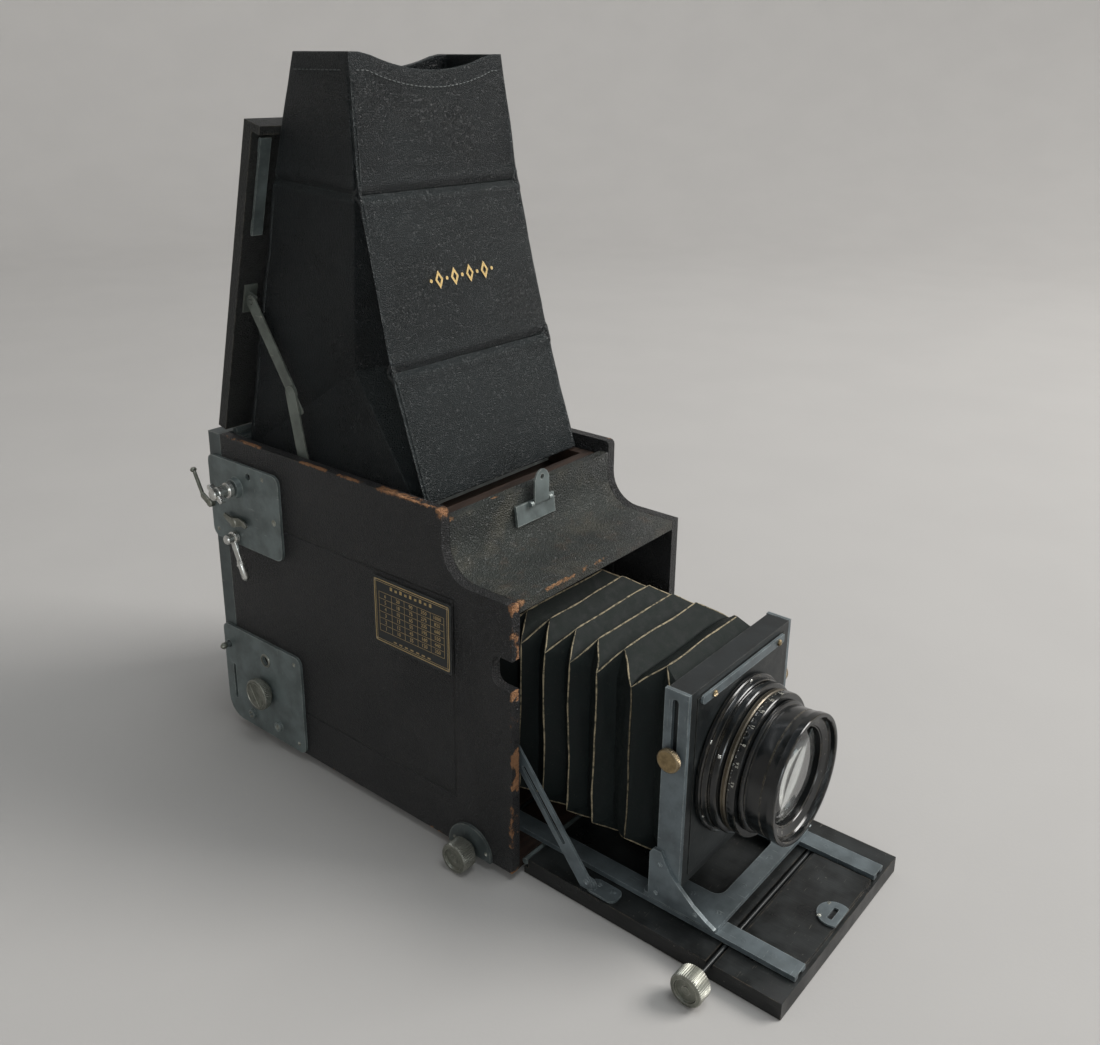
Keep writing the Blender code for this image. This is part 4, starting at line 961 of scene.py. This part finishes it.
def bellows_ring(y, kind):
    side = 52.0 + 0.03 * (y + 20.0)
    across, high, wide, up = {
        "top": (36.0, 59.0, side - 9.0, 44.0),
        "side": (40.0, 50.5, side, 48.0),
        "end": (40.0, 52.0, side - 4.0, 45.0),
    }[kind]
    quarter = ((across, -high), (wide, -up), (wide, up), (across, high))
    points = quarter + tuple((-x, -z) for x, z in quarter)
    return [Vector((x, y, BELLOWS_Z + z)) for x, z in points]


def fold_face(bm, corners, cuts, puff):
    """One facet of a pleat as a fine grid with a slight swell; three or four corners."""
    if len(corners) == 3:
        a, b, c = corners
        rows = []
        for j in range(cuts + 1):
            row = []
            for i in range(cuts + 1 - j):
                u, v = i / cuts, j / cuts
                w = 1 - u - v
                row.append((a * w + b * u + c * v, 27 * u * v * w))
            rows.append(row)
        n = (b - a).cross(c - a).normalized()
        made = [[bm.verts.new(p + n * puff * q) for p, q in row] for row in rows]
        for j in range(cuts):
            for i in range(cuts - j):
                bm.faces.new((made[j][i], made[j][i + 1], made[j + 1][i]))
                if i < cuts - j - 1:
                    bm.faces.new((made[j][i + 1], made[j + 1][i + 1], made[j + 1][i]))
        return
    a, b, c, d = corners
    n = (b - a).cross(d - a).normalized()
    made = []
    for j in range(cuts + 1):
        v = j / cuts
        row = []
        for i in range(cuts + 1):
            u = i / cuts
            p = a.lerp(b, u).lerp(d.lerp(c, u), v)
            row.append(bm.verts.new(p + n * puff * (4 * u * (1 - u)) ** 0.7 * (4 * v * (1 - v))))
        made.append(row)
    for j in range(cuts):
        for i in range(cuts):
            bm.faces.new((made[j][i], made[j][i + 1], made[j + 1][i + 1], made[j + 1][i]))


def ragged(p):
    """Where a point of the cloth really lies: pleats are never quite even."""
    q = Vector((p.x / 46, p.y / 9, p.z / 46))
    pull = max(0.0, min(1.0, (77 - p.y) / 8)) * max(0.0, min(1.0, (p.y + 80) / 8))
    return p + Vector((0, noise.noise(q) * 1.5 + noise.noise(q * 2.7) * 0.5, noise.noise(q + Vector((5, 2, 9))) * 0.7)) * pull


def build_bellows(first, last, name):
    rings = [(BELLOWS_BACK, "end")]
    for side_y, top_y in BELLOWS_FOLDS:
        rings += [(side_y, "side"), (top_y, "top")]
    rings.append((BELLOWS_FRONT, "end"))
    rings = rings[first:last]
    spots = [bellows_ring(y, kind) for y, kind in rings]
    bm = bmesh.new()
    ridges = []
    cuts = 10
    for a_ring, b_ring, (_, a_kind), (_, b_kind) in zip(spots, spots[1:], rings, rings[1:]):
        for k in range(8):
            a0, a1, b0, b1 = a_ring[k], a_ring[(k + 1) % 8], b_ring[k], b_ring[(k + 1) % 8]
            if k % 2:
                fold_face(bm, (a0, a1, b1, b0), cuts, 0.3)
                continue
            outer_first = k % 4 == 0
            if outer_first == (a_kind == "top"):
                fold_face(bm, (a0, a1, b1), cuts, 0.2)
                fold_face(bm, (a0, b1, b0), cuts, 0.2)
                ridges.append((a0, b1))
            else:
                fold_face(bm, (a0, a1, b0), cuts, 0.2)
                fold_face(bm, (a1, b1, b0), cuts, 0.2)
                ridges.append((a1, b0))
    for ring, (_, kind) in zip(spots, rings):
        if kind == "top":
            ridges += [(ring[3], ring[4]), (ring[7], ring[0])]
        elif kind == "side":
            ridges += [(ring[1], ring[2]), (ring[5], ring[6])]
    bmesh.ops.remove_doubles(bm, verts=bm.verts, dist=0.02)
    for v in bm.verts:
        v.co = ragged(v.co)
    bmesh.ops.recalc_face_normals(bm, faces=bm.faces)
    obj = piece(name, bm, CLOTH, None, smooth=32)
    shell = obj.modifiers.new("cloth", "SOLIDIFY")
    shell.thickness = 0.0010
    shell.offset = -1
    bake(obj)
    strips = []
    for p, q in ridges:
        p, q = Vector(p), Vector(q)
        steps = max(3, int((q - p).length / 4))
        path = [ragged(p.lerp(q, i / steps)) for i in range(steps + 1)]
        out = Vector(((p.x + q.x) / 2, 0, (p.z + q.z) / 2 - BELLOWS_Z)).normalized()
        r = 0.62
        rows = []
        for i, c in enumerate(path):
            along = (path[min(i + 1, steps)] - path[max(i - 1, 0)]).normalized()
            side = along.cross(out).normalized()
            lift = out - along * out.dot(along)
            swell = r * (0.75 + 0.45 * noise.noise(c / 3.0))
            taper = 0.35 if i in (0, steps) else 1.0
            rows.append([c - lift * 0.15 + (side * math.cos(t) + lift * math.sin(t)) * swell * taper for t in [math.pi * 2 * s / 6 for s in range(6)]])
        sb = bmesh.new()
        made = [[sb.verts.new(x) for x in row] for row in rows]
        for a, b in zip(made, made[1:]):
            for s in range(6):
                sb.faces.new((a[s], a[(s + 1) % 6], b[(s + 1) % 6], b[s]))
        sb.faces.new(made[0][::-1])
        sb.faces.new(made[-1])
        bmesh.ops.recalc_face_normals(sb, faces=sb.faces)
        strips.append(sb)
    worn = piece(name + "_worn_ridges", merge(strips), RIDGE, None, smooth=60)
    return obj, worn


rear_half = build_bellows(0, 16, "bellows_pleats")
front_half = build_bellows(15, 18, "bellows_front_pleat")
for soft in rear_half:
    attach(soft, "body")
    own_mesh(soft)
for soft in front_half:
    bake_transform(soft)
for soft in rear_half + front_half:
    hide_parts("bellows")


# ================================================================ lens
LENS_Z = 88.4
LENS_O, LENS_AXIS = (0, 0, LENS_Z), (0, -1, 0)


def on_lens(angle, r, t):
    """A point round the lens: angle in degrees from straight up towards the camera's left, t in front of the body edge."""
    a = math.radians(angle)
    return Vector((-r * math.sin(a), -t, LENS_Z + r * math.cos(a)))


def text_mesh(words, size, depth=0.08):
    """Generic figures as thin raised shapes, centred on the origin and lying in the x-y plane."""
    curve = bpy.data.curves.new("figures", "FONT")
    curve.body = words
    curve.size = size
    curve.align_x = "CENTER"
    curve.align_y = "CENTER"
    curve.extrude = depth / 2
    curve.resolution_u = 3
    holder = bpy.data.objects.new("figures", curve)
    scene.collection.objects.link(holder)
    mesh = bpy.data.meshes.new_from_object(holder.evaluated_get(bpy.context.evaluated_depsgraph_get()))
    bm = bmesh.new()
    bm.from_mesh(mesh)
    bpy.data.objects.remove(holder, do_unlink=True)
    bpy.data.meshes.remove(mesh)
    bmesh.ops.remove_doubles(bm, verts=bm.verts, dist=1e-5)
    return bm


def place(bm, spot, right, up):
    right, up = Vector(right).normalized(), Vector(up).normalized()
    m = Matrix((right, up, right.cross(up))).transposed().to_4x4()
    bmesh.ops.transform(bm, matrix=Matrix.Translation(Vector(spot)) @ m, verts=bm.verts)
    return bm


def build_lens():
    barrel = [
        (25.2, 84.0), (29.6, 84.0), (29.6, 96.0), (44.6, 96.0), (45.0, 96.5), (45.0, 98.2), (44.4, 98.8), (43.2, 98.9), (43.0, 99.6), (42.9, 101.2),
        (42.5, 101.7), (41.2, 101.8), (40.9, 102.2), (40.9, 102.7), (41.3, 103.0), (42.2, 103.2), (42.5, 103.7), (42.5, 106.3), (42.1, 106.9), (41.2, 107.3),
        (39.6, 107.5), (38.9, 107.9), (38.9, 111.5), (38.4, 111.7), (34.6, 111.7), (34.6, 117.0), (25.2, 117.0),
    ]
    piece("lens_shutter_barrel", lathe(barrel, LENS_O, LENS_AXIS, 96), BLACK, "standard", ("lens_barrel",), smooth=28)
    ring = [(39.05, 108.1), (39.9, 108.2), (40.35, 108.6), (40.35, 110.6), (39.9, 111.2), (39.05, 111.4)]
    piece("lens_brass_band", lathe(ring, LENS_O, LENS_AXIS, 96), DARK_BRASS, "standard", smooth=30)
    screws = [screw(on_lens(a, 43.0, 98.6), LENS_AXIS, 1.5, 0.7, 20 + a) for a in (55, 115, 175, 235, 295, 355)]
    screws.append(screw(on_lens(62, 42.4, 105.0), on_lens(62, 1, 0) - on_lens(0, 0, 0), 1.1, 0.5, 10))
    piece("lens_flange_screws", merge(screws), BRIGHT, "standard", smooth=30)

    scale = [(35.0, 112.1), (40.1, 112.1), (40.5, 112.4), (40.5, 112.9), (40.5, 113.5), (40.5, 116.2), (40.1, 116.7), (35.0, 116.8)]
    piece("lens_aperture_ring", lathe(scale, LENS_O, LENS_AXIS, 240, lambda i, j, r, t: r - (0.3 if (i // 2) % 2 and j == 3 else 0)), BLACK, "aperture", ("aperture_ring",), smooth=30)
    marks = []
    for n, words in enumerate(("32", "22", "16", "11", "8", "5.6", "4.5")):
        angle = -12 + n * 15.0
        out = on_lens(angle, 1, 0) - on_lens(0, 0, 0)
        tangent = on_lens(angle - 90, 1, 0) - on_lens(0, 0, 0)
        marks.append(place(text_mesh(words, 2.5, 0.10), on_lens(angle, 40.53, 114.9), tangent, (0, 1, 0)))
        for k in (0, 5, 10):
            a = angle + k - 5
            r_out = on_lens(a, 1, 0) - on_lens(0, 0, 0)
            bm = box((-0.11, -0.05, -0.55 if k == 5 else -0.3), (0.11, 0.05, 0.55 if k == 5 else 0.3))
            t2 = on_lens(a - 90, 1, 0) - on_lens(0, 0, 0)
            m = Matrix((t2, r_out, Vector((0, -1, 0)))).transposed().to_4x4()
            bmesh.ops.transform(bm, matrix=Matrix.Translation(on_lens(a, 40.53, 112.95)) @ m, verts=bm.verts)
            marks.append(bm)
    piece("lens_aperture_figures", merge(marks), WHITE_INK, "aperture", smooth=0)

    front = [
        (24.6, 117.3), (36.7, 117.3), (37.0, 117.6), (37.0, 119.2), (36.6, 119.6), (35.4, 120.0), (35.3, 120.6), (35.5, 121.2), (35.75, 128.6), (35.5, 128.8),
        (35.5, 129.2), (35.8, 129.4), (36.1, 132.2), (36.6, 133.4), (36.7, 134.0), (36.7, 136.9), (36.4, 137.4), (35.6, 137.6), (34.6, 137.5), (34.1, 137.0),
        (33.9, 134.6), (33.2, 133.6), (32.6, 133.5), (32.4, 133.9), (28.4, 132.4), (28.1, 131.9), (27.5, 131.7), (27.5, 124.0), (24.6, 124.0),
    ]
    piece("lens_front_barrel", lathe(front, LENS_O, LENS_AXIS, 96), BLACK, "standard", ("front_barrel",), smooth=28)
    figures = []
    words = "1 : 4.5   ·  ·  ·  ·  ·  ·   ·  ·  ·  ·  ·"
    for i, letter in enumerate(words):
        if letter == " ":
            continue
        angle = 150 - i * 6.4
        r = 30.4
        out = on_lens(angle, 1, 0) - on_lens(0, 0, 0)
        tangent = on_lens(angle - 90, 1, 0) - on_lens(0, 0, 0)
        up = -(out * 0.936 + Vector((0, -0.351, 0)))
        up = (out * 0.936 + Vector((0, -0.351, 0)))
        right = up.cross(Vector((0, -1, 0)) * 0.936 + out * -0.351)
        figures.append(place(text_mesh(letter, 2.6, 0.08), on_lens(angle, r, 133.17), right, up))
    piece("lens_front_figures", merge(figures), WHITE_INK, "standard", smooth=0)
    blades = []
    for n in range(14):
        a = 360 / 14 * n
        p = [on_lens(a + d, r, 0) for d, r in ((0, 10.1), (24, 10.1), (38, 24.6), (0, 24.6))]
        bm = bmesh.new()
        lo = [bm.verts.new((q.x, -110.7 - 0.05 * (n % 3) - 0.18 * k, q.z)) for k, q in zip((0, 1, 1, 0), p)]
        hi = [bm.verts.new((v.co.x, v.co.y - 0.12, v.co.z)) for v in lo]
        bm.faces.new(lo)
        bm.faces.new(hi[::-1])
        for q in range(4):
            bm.faces.new((lo[q], hi[q], hi[(q + 1) % 4], lo[(q + 1) % 4]))
        bmesh.ops.recalc_face_normals(bm, faces=bm.faces)
        blades.append(bm)
    piece("iris_blades", merge(blades), SATIN, "standard", smooth=0)


build_lens()


def build_front_glass():
    """The front element: a convex face, a ground rim and a plain back."""
    radius, sag, front, back = 27.2, 5.5, 134.2, 124.4
    sphere = (radius**2 + sag**2) / (2 * sag)
    face = [(radius * i / 20, front - (sphere - math.sqrt(sphere**2 - (radius * i / 20) ** 2))) for i in range(21)]
    return lathe(face + [(radius, back + 0.4), (radius - 0.4, back), (radius * 0.5, back), (0, back)], LENS_O, LENS_AXIS, 96)


piece("lens_front_element", build_front_glass(), GLASS, "standard", ("front_glass",), smooth=30)


# ================================================================ knobs, levers and small fittings
SHAFT_Z, PINION_X = 9.6, 47.75


def pinion(x, y):
    def teeth(i, j, r, t):
        return r - (0.75 if i % 4 in (0, 1) else 0.0)

    return lathe([(0, -1.9), (3.5, -1.9), (3.5, 1.9), (0, 1.9)], (x, y, SHAFT_Z), (1, 0, 0), 56, lambda i, j, r, t: teeth(i, j, r, t) if r > 1 else r)


for y, name, face, body in ((-125.0, "bed_focus_knob", -93.0, "bed_focus"), (31.0, "body_focus_knob", -97.0, "body_focus")):
    head = knurled(9.3, -11.0, 0.0, (face, y, SHAFT_Z), (-1, 0, 0), 46, 0.42, 1.3, 6.7, 1.3)
    neck = lathe([(0, 0), (6.4, 0), (6.2, 1.0), (4.7, 2.4), (4.4, 3.4), (0, 3.6)], (face + 10.6, y, SHAFT_Z), (1, 0, 0), 40)
    boss = lathe([(0, -1.9), (2.1, -1.9), (2.4, -1.5), (2.4, -0.9), (0, -0.7)], (face, y, SHAFT_Z), (-1, 0, 0), 28)
    shaft = lathe([(0, 0), (1.1, 0), (1.1, PINION_X + 4 + 84), (0, PINION_X + 4 + 84)], (-84, y, SHAFT_Z), (1, 0, 0), 20)
    piece(name + "_knurled", merge([head, neck, boss]), NICKEL, body, smooth=26)
    piece(name + "_shaft", merge([shaft, pinion(-PINION_X, y), pinion(PINION_X, y)]), SATIN, body, (name,), smooth=30)

for side, name in ((-1, "left"), (1, "right")):
    head = lathe(
        [(0, 0), (5.9, 0), (6.4, 0.35), (6.7, 0.7), (6.7, 2.9), (6.4, 3.3), (5.9, 3.55), (5.2, 3.5), (2.0, 3.3), (0, 3.3)],
        (side * 56.05, -87.2, 108.9), (side, 0, 0), 144, lambda i, j, r, t: r - (0.25 if i % 4 in (0, 1) and j in (3, 4) else 0),
    )
    stem = lathe([(0, 0), (1.5, 0), (1.5, 5.0), (0, 5.0)], (side * 51.5, -87.2, 108.9), (side, 0, 0), 20)
    piece(f"{name}_rise_knob_milled", merge([head, stem]), BRASS, f"{name}_rise", (f"{name}_rise_knob",), smooth=28)

WIND, TENSION, RELEASE, PAWL, HOOK = (234.5, 185.0), (220.5, 40.0), (239.0, 149.0), (237.0, 160.5), (262.0, 168.0)


def build_tension():
    head = knurled(11.0, 0.0, 5.8, (-85.2, *TENSION), (-1, 0, 0), 52, 0.4, 0.7, 9.3, 0.9)
    collar = lathe([(0, 0), (7.4, 0), (8.0, 0.5), (8.0, 3.0), (7.6, 3.6), (0, 3.6)], (-82.7, *TENSION), (-1, 0, 0), 40)
    tilt = math.radians(58)
    bars = []
    for offset in (-1, 1):
        n = Vector((0, -math.sin(tilt), math.cos(tilt))) * offset
        along = Vector((0, math.cos(tilt), math.sin(tilt)))
        outline = []
        for a in range(-62, 63, 4):
            q = math.radians(a)
            outline.append((8.9 * math.sin(q), 8.9 * math.cos(q)))
        outline = [(u, v) for u, v in outline if v > 2.2] + [(8.4, 2.2), (-8.4, 2.2)]
        bm = bmesh.new()
        rims = []
        for x in (-90.0, -90.75):
            rims.append([bm.verts.new(Vector((x, *TENSION)) + along * u + n * v) for u, v in outline])
        bm.faces.new(rims[0])
        bm.faces.new(rims[1][::-1])
        for q in range(len(outline)):
            w = (q + 1) % len(outline)
            bm.faces.new((rims[0][q], rims[1][q], rims[1][w], rims[0][w]))
        bmesh.ops.recalc_face_normals(bm, faces=bm.faces)
        bars.append(bm)
    shaft = lathe([(0, 0), (3.4, 0), (3.4, 14), (0, 14)], (-69.4, *TENSION), (-1, 0, 0), 28)
    piece("tension_knob_slotted", merge([head, collar, shaft] + bars), NICKEL, "tension", ("tension_knob",), smooth=26, bevel=0.12)


build_tension()


def build_key():
    stub = lathe(
        [(0, 0), (2.9, 0), (2.9, 17.4), (5.0, 17.6), (5.4, 18.0), (5.2, 20.6), (4.7, 21.2), (4.0, 21.4), (4.2, 22.2), (4.2, 27.6), (3.7, 28.2), (3.9, 28.8), (3.9, 31.0), (3.3, 31.6), (0, 31.6)],
        (-69.4, *WIND), (-1, 0, 0), 40,
    )
    wing = plate([bar((WIND[0] - 5.4, WIND[1] - 3.4), (WIND[0] + 5.4, WIND[1] + 3.4), 1.9)], "x", -99.4, -95.6, 0.5)
    return merge([stub, wing])


piece("winding_key_turned", build_key(), BRIGHT, "top_roller", ("winding_key",), smooth=30)


def build_release():
    boss = lathe([(0, 0), (4.6, 0), (4.6, 2.4), (4.3, 3.0), (3.4, 3.2), (3.3, 4.3), (3.3, 7.2), (2.6, 8.1), (1.2, 8.5), (0, 8.5)], (-82.7, *RELEASE), (-1, 0, 0), 36)
    arm = plate([bar(RELEASE, (231.5, 132.0), 2.6)], "x", -86.4, -84.4, 0.4)
    rod = capsule((-85.4, 233.1, 135.6), (-85.4, 227.3, 122.4), 2.5, 24)
    grooves = lathe([(0, 0), (2.9, 0), (3.1, 0.3), (3.1, 1.0), (2.9, 1.3), (0, 1.3)], (-85.4, 231.9, 132.9), (0, -5.8, -13.2), 28)
    return merge([boss, arm, rod, grooves])


piece("release_lever_turned", build_release(), BRIGHT, "release", ("release_lever",), smooth=30)


def build_pawl():
    boss = lathe([(0, 0), (3.4, 0), (3.4, 2.6), (2.9, 3.3), (1.4, 3.7), (0, 3.7)], (-82.7, *PAWL), (-1, 0, 0), 28)
    long_arm = plate([[(237, 163.4), (231.5, 165.0), (226.0, 164.0), (222.9, 161.4), (224.3, 159.6), (228.5, 160.2), (232.0, 158.8), (237.0, 157.3), (243.0, 159.8), (247.6, 162.6), (246.2, 165.0), (241.5, 163.8)]], "x", -85.6, -84.0, 0.3)
    return merge([boss, long_arm])


piece("pawl_lever_shaped", build_pawl(), NICKEL, "pawl", ("pawl_lever",), smooth=30)


def build_hook():
    boss = lathe([(0, 0), (3.0, 0), (3.0, 2.8), (2.5, 3.3), (0, 3.6)], (-82.8, *HOOK), (-1, 0, 0), 26)
    arm = plate([bar(HOOK, (268.6, 171.5), 2.0)], "x", -86.2, -84.2, 0.35)
    finger = capsule((-85.2, 268.2, 170.6), (-85.2, 277.0, 187.5), 1.25, 14)
    tip = capsule((-83.6, 277.2, 187.8), (-87.0, 277.2, 187.8), 1.75, 16)
    return merge([boss, arm, finger, tip])


piece("back_catch_wire", build_hook(), NICKEL, "back_catch", ("back_catch_lever",), smooth=35)

dress("upper_shutter_plate", PAINT, 0.9, 3)
dress("lower_shutter_plate", PAINT, 0.9, 3)
dress("speed_plate", SATIN, 0.2)


def build_plate_fittings():
    parts = [
        screw((-82.2, 197.5, 170.0), (-1, 0, 0), 2.2, 0.7, 35),
        screw((-82.2, 206.5, 196.8), (-1, 0, 0), 1.5, 0.5, 80),
        screw((-82.2, 258.2, 149.6), (-1, 0, 0), 1.6, 0.5, 10),
        screw((-82.2, 187.5, 72.0), (-1, 0, 0), 1.5, 0.5, 60),
        screw((-82.2, 187.5, 12.0), (-1, 0, 0), 1.5, 0.5, 15),
        screw((-82.2, 236.7, 15.6), (-1, 0, 0), 3.0, 2.9, 120, 1.0),
        screw((-82.2, 207.7, 17.4), (-1, 0, 0), 3.0, 2.9, 40, 1.0),
        capsule((-84.5, 258.5, 62.5), (-88.6, 258.5, 62.5), 2.35, 18),
    ]
    rim = lathe([(3.5, 0), (4.6, 0), (4.9, 0.3), (4.6, 0.8), (3.6, 0.9)], (-82.2, 218.1, 63.9), (-1, 0, 0), 32)
    return merge(parts + [rim])


piece("shutter_plate_screws", build_plate_fittings(), NICKEL, "body", smooth=30)


def build_speed_face():
    """A border, a ruled table of figures and four corner pins: tension numbers down the side, speeds across."""
    x = -81.12
    gold, pins = [], []

    def rule(y0, z0, y1, z1):
        gold.append(box((x - 0.10, min(y0, y1), min(z0, z1)), (x + 0.06, max(y0, y1), max(z0, z1))))

    for inset, w in ((1.6, 0.55), (3.0, 0.25)):
        y0, y1, z0, z1 = 44 + inset, 108 - inset, 118.5 + inset, 162.5 - inset
        rule(y0, z0, y1, z0 + w)
        rule(y0, z1 - w, y1, z1)
        rule(y0, z0, y0 + w, z1)
        rule(y1 - w, z0, y1, z1)
    top, low, left, right = 153.0, 127.5, 49.5, 102.5
    for i in range(7):
        z = low + (top - low) * i / 6
        rule(left, z - 0.1, right, z + 0.1)
    for i in range(6):
        y = left + (right - left) * i / 5
        rule(y - 0.1, low, y + 0.1, top)
    table = (
        ("6", "20", "90", "350", "1000"), ("5", "18", "75", "275", "825"), ("4", "15", "65", "235", "680"),
        ("3", "13", "55", "195", "550"), ("2", "12", "45", "160", "440"), ("1", "10", "35", "120", "350"),
    )
    for r, row in enumerate(table):
        for c, words in enumerate(row):
            y = right - (right - left) * (c + 0.5) / 5
            z = top - (top - low) * (r + 0.5) / 6
            gold.append(place(text_mesh(words, 3.2, 0.12), (x - 0.06, y, z), (0, -1, 0), (0, 0, 1)))
    for i in range(9):
        y = 60 + 32 * i / 8
        gold.append(box((x - 0.10, y - 0.9, 156.2), (x + 0.06, y + 0.9, 157.6 if i % 2 else 158.3)))
    for i in range(7):
        y = 62 + 28 * i / 6
        gold.append(box((x - 0.10, y - 1.2, 122.6), (x + 0.06, y + 1.2, 123.4)))
    for y in (46.6, 105.4):
        for z in (121.2, 159.8):
            pins.append(screw((x + 0.2, y, z), (-1, 0, 0), 0.9, 0.5, 0))
    piece("speed_plate_ruling", merge(gold), GILT, "body", smooth=0)
    piece("speed_plate_pins", merge(pins), BRASS, "body", smooth=30)


build_speed_face()


def build_screws():
    up, front = (0, 0, 1), (0, -1, 0)
    rail = []
    for x in (-PINION_X, PINION_X):
        for n, y in enumerate((-150.0, -132.5, -58.0, -40.0, -18.0, 8.0)):
            rail.append(screw((x, y, 13.85), up, 1.9, 0.22, 25 + 47 * n))
    piece("rail_screws", merge(rail), PAINT_TOP, "track", smooth=30)
    frame_screws = [screw((x, y, 16.65), up, 1.7, 0.3, 20 + 31 * n) for n, (x, y) in enumerate(((-42, -113.5), (42, -113.5), (-15, -113.5), (15, -113.5), (-42, -76), (42, -76), (-38, -95), (38, -95)))]
    piece("carriage_screws", merge(frame_screws), PAINT_TOP, "track", smooth=30)
    feet = [screw((s * 60.9, y, 11.9), up, 2.2, 0.6, 30 + 40 * n) for s in (-1, 1) for n, y in enumerate((-57.5, -48.0))]
    feet += [screw((s * 67.4, *(-43.5, 15.4)), (s, 0, 0), 1.9, 0.7, 60) for s in (-1, 1)]
    piece("strut_foot_screws", merge(feet), PAINT_TOP, "body", smooth=30)
    board = [screw((x, -97.9, 140.9), front, 1.9, 1.0, 35 + x) for x in (-33.0, 36.0)]
    piece("board_strip_screws", merge(board), BRASS, "standard", smooth=30)
    uprights = [screw((s * 55.7, y, z), (s, 0, 0), 1.5, 0.5, 20 + 33 * n) for s in (-1, 1) for n, (y, z) in enumerate(((-84.0, 41.0), (-82.0, 21.5), (-107.0, 20.8)))]
    piece("upright_rivets", merge(uprights), PAINT_TOP, "track", smooth=30)
    lock = [screw((x, -154.5, 13.5), up, 1.2, 0.35, 40 * x) for x in (-5.5, 6.5)]
    piece("bed_lock_screws", merge(lock), NICKEL, "body", smooth=30)
    back = [screw((x, 270.2, z), (0, 1, 0), 1.8, 0.5, 17 * x + z) for x in (-60, -20, 20, 60) for z in (32, 158)]
    back += [screw((x, 270.2, 95), (0, 1, 0), 1.5, 0.4, 33) for x in (-66.7, 66.7)]
    piece("revolving_back_screws", merge(back), NICKEL, "film_back", smooth=30)
    for s, name in ((-1, "left"), (1, "right")):
        slide = plate([rounded((s * 66.8 - 2.2, 70), (s * 66.8 + 2.2, 90), (2, 2, 2, 2), 4)], "y", 270.3, 271.5, 0.25)
        grip = lathe([(0, 0), (1.8, 0), (1.9, 0.4), (1.7, 1.6), (1.2, 2.0), (0, 2.0)], (s * 66.8, 271.3, 80), (0, 1, 0), 20)
        piece(f"{name}_holder_slide", merge([slide, grip]), NICKEL, "film_back", smooth=30)
    frame_back = [screw((x, 264.0, z), (0, 1, 0), 1.9, 0.4, 29 * x) for x in (-74, 74) for z in (12, 208)]
    piece("rear_frame_screws", merge(frame_back), NICKEL, "body", smooth=30)
    stay = [screw((-71.9, 184.0, 256.0), (-1, 0, 0), 2.6, 1.3, 45), screw((-76.3, 172.0, 197.0), (1, 0, 0), 1.4, 0.2, 10)]
    piece("stay_rivet", stay[0], STAY, "stay_upper", smooth=30)
    stay[1].free()
    escutcheon = [screw((-82.15, 31 + s * 12.5, 10.5), (-1, 0, 0), 1.2, 0.4, 60) for s in (-1, 1)]
    piece("escutcheon_screws", merge(escutcheon), NICKEL, "body", smooth=30)
    catch = [screw((x, 48.6, 194.0), (0, -0.99, 0.13), 1.3, 0.5, 30) for x in (-16.0, 11.5)]
    piece("catch_screws", merge(catch), NICKEL, "body", smooth=30)


build_screws()
